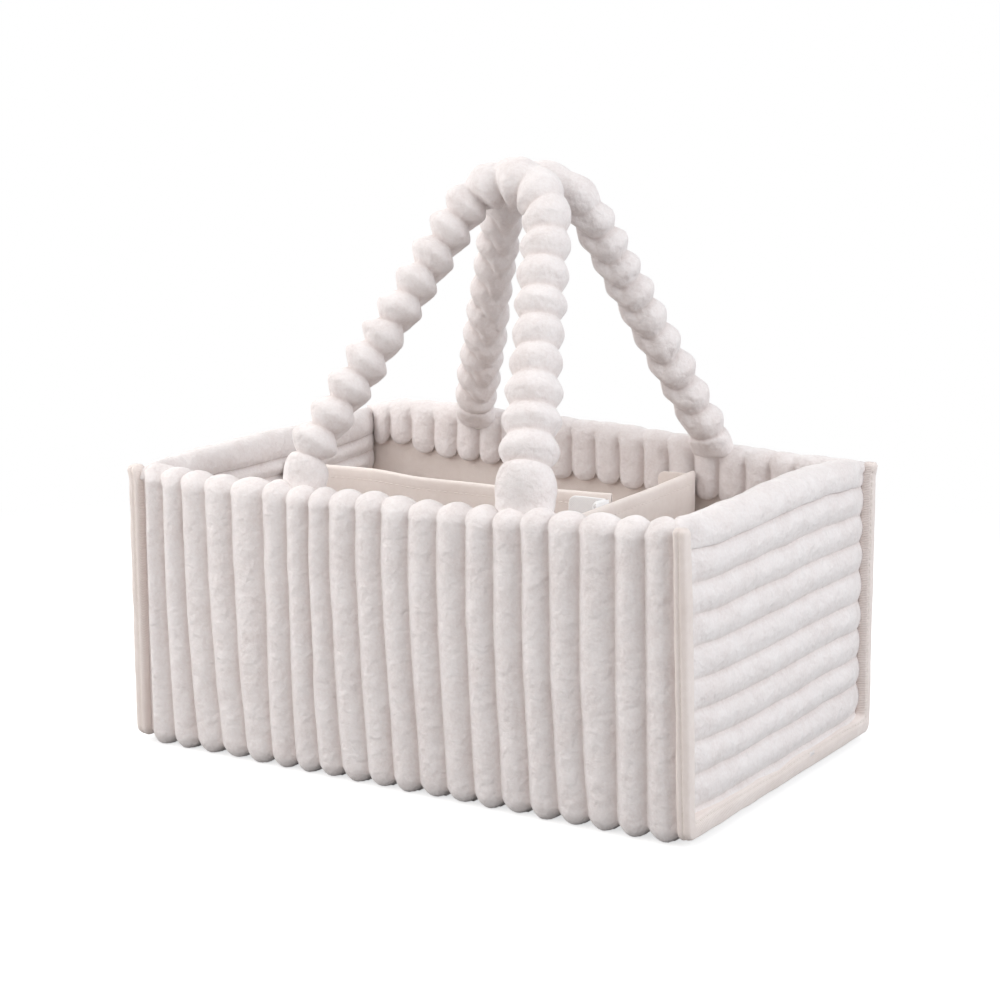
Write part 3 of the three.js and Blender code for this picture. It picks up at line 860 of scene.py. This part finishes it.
def end_wall(wall, seed):
    """Plush of an end wall: level ribs from the binding to the rim, the roll, and ribs inside."""
    at = np.linspace(-END_HALF, END_HALF, END_COLUMNS)
    outward, up, angle, inside, number = [column[:, None] + 0 * at for column in end_rows().T]
    is_roll = number == len(END_VALLEYS)
    relief = np.where(is_roll, half_round(inside ** 2), soft_rib(inside, END_FULLNESS))
    rng = np.random.default_rng(seed)
    plump = (1 + rng.uniform(-END_PLUMP, END_PLUMP, int(number.max()) + 1))[number.astype(int)]
    edge = END_HALF - np.abs(at) + 0 * up
    pinch = 1 - END_PINCH * bell(edge, END_PINCH_REACH)
    rounded_end = ROLL_END + (1 - ROLL_END) * round_over(edge, ROLL_END_REACH)
    pinch = pinch + on_rim(angle) * (rounded_end - pinch)
    filled = relief + END_FILL * bell(edge, END_FILL_REACH) * (1 - relief)
    rise = END_VALLEY + (END_CREST - END_VALLEY) * plump * filled
    notch = END_NOTCH * (1 - relief) * bell(edge, END_NOTCH_REACH)

    flat = joined(outward, at, up)
    height = rise * pinch - notch + nap(flat, relief, seed)
    held = np.clip((up - BAND_TOP) / BAND_HOLD, 0, 1)
    up = up + np.abs(np.cos(angle)) * held * lumpy(flat, END_WAVES, seed + WAVE_SEED)
    front = wall_points(wall, at, outward + height * np.cos(angle), up + height * np.sin(angle), angle)
    back = wall_points(wall, at, outward, up, angle)[:, ::END_BACK_STEP]
    plush_piece(f"{wall}_end_wall", front, back, relief, f"{wall}_end_panel")


def underside():
    """Plush under the base, whose ribs run from the front wall's to the back's and are flat from standing."""
    low, high = corners("base_panel")
    front_at, _, inside = rib_columns("front")
    back_at = rib_columns("back")[0]
    deep = np.linspace(low[1], high[1], SOLE_ROWS)[:, None]
    share = (deep - low[1]) / (high[1] - low[1])
    at = front_at * (1 - share) + back_at * share
    relief = soft_rib(inside, LONG_FULLNESS) + 0 * at
    flat = joined(at, deep, 0)
    rise = LONG_VALLEY + (LONG_CREST - LONG_VALLEY + SOLE_NAP * lumpy(flat, NAP, SOLE_SEED)) * relief
    front = joined(at, deep, high[2] - np.minimum(rise, PLY))
    back = front[:, ::RIB_COLUMNS // BACK_COLUMNS].copy()
    back[..., 2] = high[2]
    plush_piece("underside", settle(front, "base"), settle(back, "base"), relief, "base_panel")


# Boards and linings

def steps(low, high, pitch, edge):
    """Places from low to high, about a pitch apart, and closer at the rounded ends."""
    near = edge * (1 - np.cos(np.linspace(0, np.pi / 2, EDGE_STEPS)))
    count = max(2, int(round((high - low - 2 * edge) / pitch)) + 1)
    middle = np.linspace(low + edge, high - edge, count)[1:-1]
    return np.concatenate([low + near, middle, (high - near)[::-1]])


def panel_grids(low, high, pitch, bend, extra_heights=()):
    """Two faces of a flat panel with round edges, moved by bend, and the cloth's places on them."""
    thin = int(np.argmin(high - low))
    first, second = [axis for axis in range(3) if axis != thin]
    half = (high[thin] - low[thin]) / 2
    across = steps(low[first], high[first], pitch, half)
    along = np.union1d(steps(low[second], high[second], pitch, half), extra_heights)
    ease_across = round_over(np.minimum(across - low[first], high[first] - across), half)
    ease_along = round_over(np.minimum(along - low[second], high[second] - along), half)
    thickness = EDGE_SHARE + (1 - EDGE_SHARE) * ease_across * ease_along[:, None]
    grids = []
    for side in (-1, 1):
        grid = np.empty((len(along), len(across), 3))
        grid[..., first] = across
        grid[..., second] = along[:, None]
        grid[..., thin] = (low[thin] + high[thin]) / 2 + side * half * thickness
        grids.append(bend(grid))
    cloth = joined(across, along[:, None], 1)
    return grids, np.concatenate([cloth.reshape(-1, 3)] * 2)


def panel_piece(name, node, pitch, bend, material, body, extra_heights=()):
    """Flat panel in place of a CAD node."""
    low, high = corners(node)
    grids, cloth = panel_grids(low, high, pitch, bend, extra_heights)
    points, faces = closed_sheet(*grids)
    made = make_piece(name, points, faces, material, body, cloth)
    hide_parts(node)
    return made


def flat_size(node):
    """Two larger sides of a flat CAD node, in metres."""
    low, high = corners(node)
    return tuple(float(side) * MM for side in sorted(high - low)[1:])


def foam_board(stem, wall, pitch):
    """Foam board that follows the slump of its wall, or of the base."""
    made = panel_piece(
        f"{stem}_foam", f"{stem}_board", pitch, lambda grid: settle(grid, wall), FOAM, "shell",
    )
    return made


def wall_boards(wall, stem):
    """Foam board and canvas lining of a wall, which follow its rim."""
    board = foam_board(stem, wall, BOARD_PITCH)
    low, high = corners(f"{stem}_lining")
    thin = int(np.argmin(high - low))
    wide = 1 - thin
    inward = -1 if low[thin] > 0 else 1

    def slack(grid):
        moved = grid.copy()
        edge = np.minimum(grid[..., wide] - low[wide], high[wide] - grid[..., wide])
        below_top = high[2] - grid[..., 2]
        free = np.clip(edge / LINING_SIDE_HOLD, 0, 1) * np.clip(below_top / LINING_TOP_HOLD, 0, 1)
        ripple = LINING_SLACK + lumpy(grid * LINING_STRETCH, LONG_RIPPLES, LINING_SEED)
        ripple = ripple + lumpy(grid, SHORT_RIPPLES, LINING_SEED + 1)
        moved[..., thin] += inward * np.maximum(0, ripple) * free
        return settle(moved, wall)

    lining = panel_piece(f"{stem}_canvas", f"{stem}_lining", LINING_PITCH, slack, CANVAS, "shell")
    flat_size(f"{stem}_lining")


def base_boards():
    """Foam board and canvas floor of the base, which lies flat where the dividers stand and slide."""
    board = foam_board("base", "base", BASE_BOARD_PITCH)
    left_of_cross = corners("cross_divider_cover")[0][0] - FLOOR_CLEAR
    beside_long = corners("long_divider_cover")[1][1] + FLOOR_CLEAR

    def slack(grid):
        moved = grid.copy()
        free = ease(grid[..., 0], left_of_cross, left_of_cross - FLOOR_FREE)
        free = free * ease(np.abs(grid[..., 1]), beside_long, beside_long + FLOOR_FREE)
        moved[..., 2] += free * (FLOOR_SLACK + lumpy(grid, FLOOR_RIPPLES, FLOOR_SEED))
        return settle(moved, "base")

    floor = panel_piece("base_canvas", "base_lining", FLOOR_PITCH, slack, CANVAS, "shell")
    flat_size("base_lining")


# Stitches and bindings

def stitches(name, rows, material, body):
    """Rows of thread stitches along rows of points, each with the way out of the cloth."""
    turn = np.arange(STITCH_SIDES) * 2 * np.pi / STITCH_SIDES
    points, faces = [], []
    for row, outward in rows:
        run = run_along(row)
        for start in np.arange(STITCH_PITCH, run[-1] - STITCH_PITCH, STITCH_PITCH):
            places = start + STITCH_LENGTH * np.array([-0.5, 0, 0.5])
            first, middle, last = [[np.interp(place, run, axis) for axis in row.T] for place in places]
            way = np.subtract(last, first) / np.linalg.norm(np.subtract(last, first))
            out = np.array([np.interp(start, run, axis) for axis in outward.T])
            side = np.cross(way, out) / np.linalg.norm(np.cross(way, out))
            over = np.cross(side, way)
            rim = np.cos(turn)[:, None] * side + np.sin(turn)[:, None] * over
            rings = [
                np.add(middle, share * STITCH_LENGTH * way) + width * STITCH_THICKNESS / 2 * rim
                for share, width in STITCH_RINGS
            ]
            new_points, new_faces = closed_tube(np.array(rings))
            offset = sum(len(part) for part in points)
            points.append(new_points)
            faces += [[number + offset for number in face] for face in new_faces]
    return make_piece(name, np.concatenate(points), faces, material, body)


def binding_lines(drops):
    """Outer and inner edge of a binding as y and z, from the front post's top to the back post's."""
    reach = HALF_DEPTH - BINDING_CORNER
    low = BINDING_LIFT + BINDING_CORNER
    inner_reach = HALF_DEPTH - POST_WIDTH - BINDING_FILLET
    inner_low = BINDING_LIFT + BAND_WIDTH + BINDING_FILLET
    posts = np.linspace(0, 1, int((RIM - low) / BINDING_STEP))[:-1, None]
    bottom = np.linspace(-1, 1, int(2 * reach / BINDING_STEP))[1:-1]
    angle = np.radians(np.linspace(180, 270, CORNER_STEPS))
    lines = []
    for radius, across, floor in ((BINDING_CORNER, reach, low), (BINDING_FILLET, inner_reach, inner_low)):
        corner = np.column_stack([radius * np.cos(angle) - across, radius * np.sin(angle) + floor])
        tops = [np.array([-across - radius, RIM - drop]) for drop in drops]
        front, back = [np.vstack([top + posts * (corner[0] - top), corner]) for top in tops]
        base = np.column_stack([bottom * across, np.full(len(bottom), floor - radius)])
        lines.append(np.vstack([front, base, (back * (-1, 1))[::-1]]))
    return lines


def tape_face(share, from_lip, sink, ridge, ridge_at, ridge_width):
    """Height of one face of a binding across it: its lip, the sink between its edges, and the sewn ridge."""
    lip = BINDING_LIP * (1 - round_over(from_lip, LIP_REACH))
    return lip - sink * np.sin(np.pi * share) ** SINK_POWER + ridge * bell(share - ridge_at, ridge_width)


def binding_section(width):
    """Section of a binding: places in from its outer edge and from the end's face, all the way round."""
    share = np.linspace(0, 1, FACE_STEPS)
    deep = BINDING_DEPTH + share * (BINDING_EDGE - BINDING_DEPTH)
    side_face = np.column_stack([tape_face(share, BINDING_DEPTH - deep, *SIDE_FACE), deep])
    turn = np.radians(np.linspace(180, 270, EDGE_TURNS))[1:-1]
    edge = BINDING_EDGE * (1 + np.column_stack([np.cos(turn), np.sin(turn)]))
    wide = BINDING_EDGE + share * (width - BINDING_EDGE)
    end_face = np.column_stack([wide, tape_face(share, width - wide, *END_FACE)])
    first, second, third = CLOSING_DEPTHS
    inside = [
        (width - CLOSING_INSETS[0], first),
        (min(width - CLOSING_INSETS[1], second), second),
        (third, BINDING_DEPTH - CLOSING_INSETS[2]),
    ]
    return np.vstack([side_face, edge, end_face, inside])


def binding_rings(side, run, outer, inner):
    """Sections of a binding along its edges, which narrow at the posts' ends."""
    from_end = from_ends(run)
    inward = inner - outer
    widths = np.linalg.norm(inward, axis=1)
    inward /= widths[:, None]
    end_share = POST_END + (1 - POST_END) * round_over(from_end + POST_END_BLUNT, POST_END_REACH)
    rings = []
    for place, way, width, share in zip(outer, inward, widths, end_share):
        middle = np.array([width / 2, BINDING_DEPTH / 2])
        section = middle + share * (binding_section(width) - middle)
        across = place + section[:, :1] * way
        rings.append(np.column_stack([side * (HALF_LENGTH - section[:, 1]), across]))
    return np.array(rings)


def binding(wall, seed):
    """Tape folded round the uprights and the bottom edge of an end, sewn through near both of its lips."""
    side = -1 if wall == "left" else 1
    outer, inner = binding_lines(BINDING_DROP[wall])
    run = run_along(outer)
    from_end = from_ends(run)
    waves = POST_WAVE + (BAND_WAVE - POST_WAVE) * ease(from_end, *BAND_FROM)
    waves = waves * noise(joined(run, 0, 0), TAPE_WAVE_SIZE, seed)
    rings = binding_rings(side, run, outer, inner + waves[:, None])
    middle = rings.mean(axis=1, keepdims=True)
    outward = (rings - middle) / np.linalg.norm(rings - middle, axis=2, keepdims=True)
    rings = rings + lumpy(rings, TAPE_LUMPS, seed + 1)[..., None] * outward
    flares = np.where(run < run[-1] / 2, *BINDING_FLARE[wall]) * ease(from_end, FLARE_REACH, 0)
    rings[..., 0] += side * flares[:, None]
    rings = settle(rings, wall)
    points, faces = closed_tube(rings)
    girth = np.linspace(0, 2 * (POST_WIDTH + BINDING_DEPTH), rings.shape[1])
    cloth = joined(girth, run[:, None], 1)
    made = make_piece(f"{wall}_tape", points, faces, TAPE, "shell", cloth.reshape(-1, 3))
    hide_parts(f"{wall}_binding")
    rows = [(rings[:, at], outward[:, at]) for at in STITCH_COLUMNS]
    sewn = stitches(f"{wall}_tape_stitches", rows, THREAD, "shell")


# Dividers

def divider(name, bow, top):
    """Canvas sleeve round a stiff sheet, which bows a little, with a stitched hem along its wavy top edge."""
    low, high = corners(f"{name}_cover")
    thin = int(np.argmin(high - low))
    wide = 1 - thin
    middle = (low[thin] + high[thin]) / 2
    length = high[wide] - low[wide]

    def bend(grid):
        moved = grid.copy()
        share = (grid[..., wide] - low[wide]) / length
        up = (grid[..., 2] - low[2]) / (high[2] - low[2])
        below_top = high[2] - grid[..., 2]
        away = grid[..., thin] - middle
        groove = HEM_GROOVE * bell(below_top - HEM, HEM_GROOVE_WIDTH) * ease(np.abs(away), *GROOVE_DEPTHS)
        pad = ease(below_top, HEM, HEM + PAD_REACH) * lumpy(grid, DIVIDER_PADS, DIVIDER_SEED)
        moved[..., thin] += bow(share) * up + np.sign(away) * (pad - groove)
        moved[..., 2] += top(share) * up ** 2
        return moved

    hem_heights = high[2] - HEM + np.linspace(-HEM_SPAN, HEM_SPAN, HEM_ROWS)
    cover = panel_piece(
        f"{name}_canvas", f"{name}_cover", SLEEVE_PITCH, bend, CANVAS, name, hem_heights,
    )
    core = panel_piece(f"{name}_stiffener", f"{name}_core", STIFFENER_PITCH, bend, FOAM, name)

    rows = []
    for side in (-1, 1):
        row = np.empty((HEM_POINTS, 3))
        row[:, wide] = low[wide] + np.linspace(HEM_INSET, 1 - HEM_INSET, HEM_POINTS) * length
        row[:, thin] = middle + side * (high[thin] - low[thin]) / 2
        row[:, 2] = high[2] - HEM
        outward = np.zeros_like(row)
        outward[:, thin] = side
        rows.append((bend(row) + HEM_STITCH_RISE * outward, outward))
    stitches(f"{name}_stitches", rows, CANVAS_THREAD, name)


def leg_steps(leg):
    """Places along a tab's leg from its free end, closer at its rounded corners."""
    corner = np.linspace(0, TAB_CORNER, TAB_CORNER_STEPS)
    return np.concatenate([corner, np.linspace(TAB_CORNER, leg, TAB_LEG_STEPS)[1:-1]])


def tab(name, node, corner_signs, material, body):
    """Tab folded into an L round an upright corner, with rounded free ends that stand off a little."""
    low, high = corners(node)
    signs = np.array(corner_signs)
    corner = np.where(signs > 0, high[:2], low[:2])
    half = TAB_THICKNESS / 2
    legs = (high - low)[:2] - TAB_BEND
    lengths = [leg_steps(leg) for leg in legs]
    first = np.column_stack([TAB_BEND + legs[0] - lengths[0], np.full(len(lengths[0]), half)])
    second = np.column_stack([np.full(len(lengths[1]), half), TAB_BEND + legs[1] - lengths[1]])[::-1]
    turn = np.linspace(0, np.pi / 2, TAB_BEND_STEPS)
    round_normal = np.column_stack([np.sin(turn), np.cos(turn)])
    line = np.vstack([first, TAB_BEND - (TAB_BEND - half) * round_normal, second])
    normal = np.vstack([[(0, 1)] * len(first), round_normal, [(1, 0)] * len(second)])
    run = run_along(line)
    from_end = from_ends(run)
    line = line + (TAB_LIFT * ease(from_end, TAB_LIFT_REACH, 0))[:, None] * normal

    shares = (1 - np.cos(np.linspace(0, np.pi, TAB_ROWS))) / 2
    cut = TAB_CORNER * (1 - round_over(from_end, TAB_CORNER))
    up = low[2] + cut + shares[:, None] * (high[2] - low[2] - 2 * cut)
    edge = np.minimum(np.minimum(up - low[2] - cut, high[2] - cut - up), from_end)
    thickness = half * (TAB_EDGE + (1 - TAB_EDGE) * round_over(edge, half))
    grids = []
    for side in (-1, 1):
        plan = line + side * thickness[..., None] * normal
        grids.append(np.concatenate([corner - signs * plan, up[..., None]], axis=-1))
    points, faces = closed_sheet(*grids)
    cloth = joined(run, up, 1).reshape(-1, 3)
    made = make_piece(name, points, faces, material, body, np.concatenate([cloth, cloth]))
    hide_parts(node)


def loop_patch():
    """Patch on the cross divider that the long divider's tab grips."""
    node = "cross_divider_loop_patch"
    patch = panel_piece(
        "loop_patch", node, PATCH_PITCH, lambda grid: grid, HOOK_TAPE, "cross_divider",
    )
    flat_size(node)


def cross_bow(share):
    return CROSS_BOW * np.sin(np.pi * share) ** 2 * ease(share, *CROSS_BOW_FROM)


def cross_top(share):
    front, back = CROSS_TOP
    return front + (back - front) * share - CROSS_SAG * share * (1 - share)


def long_bow(share):
    held = ease(share, 0, LONG_BOW_EASE) * ease(share, 1, 1 - LONG_BOW_EASE)
    return LONG_BOW * np.sin(2 * np.pi * share) * held


def long_top(share):
    return through(LONG_DIVIDER_TOP, share)


def dividers():
    divider("cross_divider", cross_bow, cross_top)
    divider("long_divider", long_bow, long_top)
    loop_patch()
    for end, sign in (("front", -1), ("back", 1)):
        tab(f"cross_{end}_tab", f"cross_divider_{end}_tab", (1, sign), CANVAS, "cross_divider")
    tab("long_left_tab", "long_divider_left_tab", (-1, -1), CANVAS, "long_divider")
    tab("long_right_tab", "long_divider_right_tab", (1, 1), HOOK_TAPE, "long_divider")


# Handles

def handle_frame(name):
    """Turning point of a handle, the ways up it and to its underside, and its reach to its top's middle."""
    pivot = HINGES[name]
    inward = -np.sign(pivot[1])
    top = corners(f"{name}_cover")[1][2] - CAD_BEAD / 2
    apex = np.array([abs(pivot[1]) - APEX_Y, top - pivot[2]])
    reach = np.linalg.norm(apex)
    lean, rise = apex / reach
    lifted = pivot + (0, 0, HANDLE_LIFT)
    return lifted, np.array([0, inward * lean, rise]), np.array([0, inward * rise, -lean]), reach


def smooth(line):
    """Line whose points are drawn to the middle of their neighbours, apart from its ends."""
    for _ in range(SMOOTHING_PASSES):
        line = np.vstack([line[:1], (line[:-2] + 2 * line[1:-1] + line[2:]) / 4, line[-1:]])
    return line


def handle_line(feet, feet_up, reach):
    """Middle line of a handle in its plane, as places along the rim and up, and the run along it."""
    centre = np.array([APEX_X, reach - ARCH_RADIUS])
    knees = [np.array([foot, ROLL + FOOT_BEND]) for foot in feet]
    turns = []
    for knee in knees:
        away = np.abs(knee - centre)
        turns.append(math.acos(ARCH_RADIUS / np.linalg.norm(away)) - math.atan2(away[1], away[0]))
    angle = np.linspace(np.pi - turns[0], turns[1], ARCH_STEPS)
    arch = centre + ARCH_RADIUS * np.column_stack([np.cos(angle), np.sin(angle)])
    legs = []
    for knee, foot, foot_up, top in zip(knees, feet, feet_up, (arch[0], arch[-1])):
        start = np.array([foot, foot_up])
        bend = knee + FOOT_BEND * (top - knee) / np.linalg.norm(top - knee)
        share = np.linspace(0, 1, FOOT_STEPS)[:, None]
        curve = (1 - share) ** 2 * start + 2 * share * (1 - share) * knee + share ** 2 * bend
        legs.append(np.vstack([curve, bend + np.linspace(0, 1, LEG_STEPS)[1:-1, None] * (top - bend)]))
    line = np.vstack([legs[0], arch, legs[1][::-1]])
    length = run_along(line)
    run = np.linspace(0, length[-1], int(length[-1] / TUBE_STEP))
    line = np.column_stack([np.interp(run, length, line[:, axis]) for axis in (0, 1)])
    return smooth(line), run


def bead_marks(length, feet, rng):
    """Places of the necks along a handle, with longer beads at its feet."""
    middle = length - sum(feet)
    pitches = 1 + rng.uniform(-PITCH_JITTER, PITCH_JITTER, round(middle / BEAD_PITCH))
    pitches *= middle / pitches.sum()
    return np.concatenate([[0], feet[0] + np.concatenate([[0], np.cumsum(pitches)]), [length]])


def crest(inside, rounding):
    """Height of a bead along it, from 0 to 1: two slopes that meet in a round crest."""
    return (np.hypot(1, rounding) - np.hypot(inside, rounding)) / (np.hypot(1, rounding) - rounding)


def bead_tilt(run, turn, seed):
    """How far the beads are tilted along a handle, by place along it and turn round it."""
    first, second = [
        noise(joined(run, apart, 0), TILT_SIZE, seed + TILT_SEED)[:, None]
        for apart in (0, TILT_APART)
    ]
    return BEAD_TILT * (first * np.cos(turn) + second * np.sin(turn))


def bead_relief(name, run, turn, from_seam, seed):
    """Relief of a handle's beads from 0 to 1, and how plump each is, by place along it and turn round it."""
    rng = np.random.default_rng(seed)
    marks = bead_marks(run[-1], FOOT_LENGTHS[name], rng)
    last = len(marks) - 2
    plump = 1 + rng.uniform(-BEAD_PLUMP, BEAD_PLUMP, last + 1)
    past_foot = np.minimum(run - marks[1], marks[last] - run)[:, None]
    free = np.clip(past_foot / BEAD_PITCH, 0, 1)
    at_seam = ease(np.abs(from_seam), *SEAM_SLANT)
    place = run[:, None] + free * (BEAD_PITCH / 2 * at_seam + bead_tilt(run, turn, seed))
    bead = np.clip(np.searchsorted(marks, place, side="right") - 1, 0, last)
    inside = np.clip(2 * (place - marks[bead]) / (marks[bead + 1] - marks[bead]) - 1, -1, 1)
    is_foot = (bead == 0) | (bead == last)
    relief = np.where(is_foot, soft_rib(inside, FOOT_FULLNESS), crest(inside, BEAD_ROUND))
    relief = relief + free * at_seam * SEAM_FLOOR * (1 - relief)
    left_floor, right_floor = FOOT_FLOORS[name]
    under_left = (bead == 0) & (inside < 0)
    under_right = (bead == last) & (inside > 0)
    relief = np.maximum(relief, left_floor * under_left + right_floor * under_right)
    return relief, plump[bead]


def handle_radius(name, run, turn, relief, plump, even, seed):
    """Distance of a handle's plush from its middle line, with beads, necks, pleats and nap."""
    neck = through(NECKS[name], run / run[-1])[:, None]
    radius = even * (neck + (1 - neck) * plump * relief) * (1 + BEAD_OVAL * np.cos(2 * turn))
    flat = joined(run[:, None], NAP_RADIUS * np.cos(turn), NAP_RADIUS * np.sin(turn))
    pleats = PLEAT * (1 - PLEAT_LOSS * relief) * noise(flat * PLEAT_STRETCH, PLEAT_SIZE, seed + PLEAT_SEED)
    return radius + pleats + nap(flat, relief, seed)


def handle(name, seed):
    """Stuffed plush tube gathered into beads, with its seam on the side that leans over the box."""
    pivot, upward, under, reach = handle_frame(name)
    line, run = handle_line(FEET[name], ROLL - np.array(FOOT_SINKS[name]), reach)
    tangent = np.gradient(line, axis=0)
    tangent /= np.linalg.norm(tangent, axis=1, keepdims=True)
    turn = np.arange(TUBE_SIDES) * 2 * np.pi / TUBE_SIDES
    from_seam = (turn - SEAM_TURNS[name] + np.pi) % (2 * np.pi) - np.pi
    relief, plump = bead_relief(name, run, turn, from_seam, seed)
    from_top = np.abs(run - run[np.argmax(line[:, 1])])[:, None]
    stretch = ARCH_STRETCH * ease(from_top, ARCH_REACH, 0) * (1 + np.cos(turn)) / 2
    relief = relief + stretch * (1 - relief)
    even = through(BEAD_WIDTHS[name], run / run[-1])[:, None] / 2
    radius = handle_radius(name, run, turn, relief, plump, even, seed)

    along_rim = np.array([1, 0, 0])
    from_end = from_ends(run)
    near_foot = ease(from_end, FOOT_LEVEL, 0)[:, None]
    back = FOOT_BACKS[name] * near_foot * under
    middle = pivot + line[:, :1] * along_rim + line[:, 1:] * upward + back
    outer = -tangent[:, 1:] * along_rim + tangent[:, :1] * upward
    deep = np.sin(turn) * (1 - FOOT_FLATS[name] * near_foot)
    ways = np.cos(turn)[None, :, None] * outer[:, None] + deep[..., None] * under
    core_points, core_faces = closed_tube(middle[:, None] + CORE_SHARE * even[..., None] * ways)
    core = make_piece(f"{name}_stuffing", core_points, core_faces, STUFFING, name)
    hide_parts(f"{name}_core")

    radius = radius * (FOOT_END + (1 - FOOT_END) * round_over(from_end, FOOT_EDGE))[:, None]
    levelled = near_foot * radius * deep * -under[2] / upward[2]
    points, faces = closed_tube(middle[:, None] + radius[..., None] * ways + levelled[..., None] * upward)
    cloth = relief_cloth(len(points), relief)
    made = make_piece(f"{name}_plush", points, faces, PLUSH_CLOTH, name, cloth)
    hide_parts(f"{name}_cover")


# Stage

def looked_at(tree):
    """Whether a ray comes from the camera, straight or by way of a glossy or clear surface."""
    path = add_node(tree, "LightPath")
    seen = maths(tree, "MAXIMUM", path.outputs["Is Camera Ray"], path.outputs["Is Glossy Ray"])
    return maths(tree, "MAXIMUM", seen, path.outputs["Is Transmission Ray"])


def add_floor():
    """White floor that keeps the shadow near the object and fades into the white background."""
    size = FLOOR_HALF
    mesh = bpy.data.meshes.new("floor")
    ground = [(-size, -size, 0), (size, -size, 0), (size, size, 0), (-size, size, 0)]
    mesh.from_pydata(ground, [], [(0, 1, 2, 3)])
    made = bpy.data.objects.new("floor", mesh)
    bpy.context.scene.collection.objects.link(made)
    material = bpy.data.materials.new("floor")
    material.use_nodes = True
    tree = material.node_tree
    tree.nodes.remove(tree.nodes["Principled BSDF"])
    shaded = add_node(tree, "BsdfDiffuse", {"Color": FLOOR_GREY})
    glow = add_node(tree, "Emission", {"Color": WHITE, "Strength": FLOOR_GLOW})
    near = add_node(tree, "AddShader", {0: shaded.outputs[0], 1: glow.outputs[0]})
    white = add_node(tree, "Emission", {"Color": WHITE, "Strength": 1.0})
    place = add_node(tree, "TexCoord").outputs["Object"]
    distance = add_node(tree, "VectorMath", {0: place}, operation="LENGTH").outputs["Value"]
    range_inputs = {"Value": distance, "From Min": SHADOW_REACH[0], "From Max": SHADOW_REACH[1]}
    far = add_node(tree, "MapRange", range_inputs, interpolation_type="SMOOTHSTEP").outputs["Result"]
    seen = add_node(tree, "MixShader", {0: far, 1: near.outputs[0], 2: white.outputs[0]})
    plain = add_node(tree, "BsdfDiffuse", {"Color": FLOOR_BOUNCE})
    mixed = add_node(tree, "MixShader", {0: looked_at(tree), 1: plain.outputs[0], 2: seen.outputs[0]})
    tree.links.new(mixed.outputs[0], tree.nodes["Material Output"].inputs["Surface"])
    mesh.materials.append(material)
    made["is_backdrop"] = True


def add_world():
    """White studio that shows as white and gives some soft light."""
    world = bpy.data.worlds.new("studio")
    bpy.context.scene.world = world
    world.use_nodes = True
    tree = world.node_tree
    background = tree.nodes["Background"]
    background.inputs["Color"].default_value = WHITE
    strength = maths(tree, "MULTIPLY_ADD", looked_at(tree), 1 - AMBIENT, AMBIENT)
    tree.links.new(strength, background.inputs["Strength"])


def heading(turn, lift):
    """Way that is turned from +Y towards +X, and lifted, in degrees."""
    turn, lift = math.radians(turn), math.radians(lift)
    return Vector((math.sin(turn) * math.cos(lift), math.cos(turn) * math.cos(lift), math.sin(lift)))


def aim(made, place, way):
    """Put a lamp or a camera at a place, looking along a way."""
    made.location = place
    made.rotation_euler = way.to_track_quat("-Z", "Y").to_euler()
    bpy.context.scene.collection.objects.link(made)


def add_lamp(name, azimuth, elevation, distance, size, power, colour):
    """Soft box that looks at the object. Azimuth 0 is in front, and 90 at the right end."""
    way = heading(180 - azimuth, elevation)
    lamp = bpy.data.lights.new(name, "AREA")
    lamp.size = size
    lamp.energy = power
    lamp.color = colour
    aim(bpy.data.objects.new(name, lamp), Vector(LAMP_AIM) + distance * way, -way)


def add_camera():
    camera = bpy.data.cameras.new("camera")
    camera.lens = CAMERA_LENS
    camera.sensor_width = SENSOR
    made = bpy.data.objects.new("camera", camera)
    aim(made, CAMERA_AT, heading(CAMERA_YAW, CAMERA_PITCH))
    bpy.context.scene.camera = made


# Build
for name, seed in LONG_SEEDS.items():
    long_wall(name, seed)
    wall_boards(name, name)
for name, seed in END_SEEDS.items():
    end_wall(name, seed)
    wall_boards(name, f"{name}_end")
    binding(name, seed + TAPE_SEED)
underside()
base_boards()
dividers()
for name, seed in HANDLE_SEEDS.items():
    handle(name, seed)

add_floor()
add_world()
for name, settings in LAMPS.items():
    add_lamp(name, *settings)
add_camera()
bpy.context.scene.view_settings.view_transform = "Standard"

boxes = {"cad": CAD_BOX, "visual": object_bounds()}
{key: [list(corner) for corner in box] for key, box in boxes.items()}
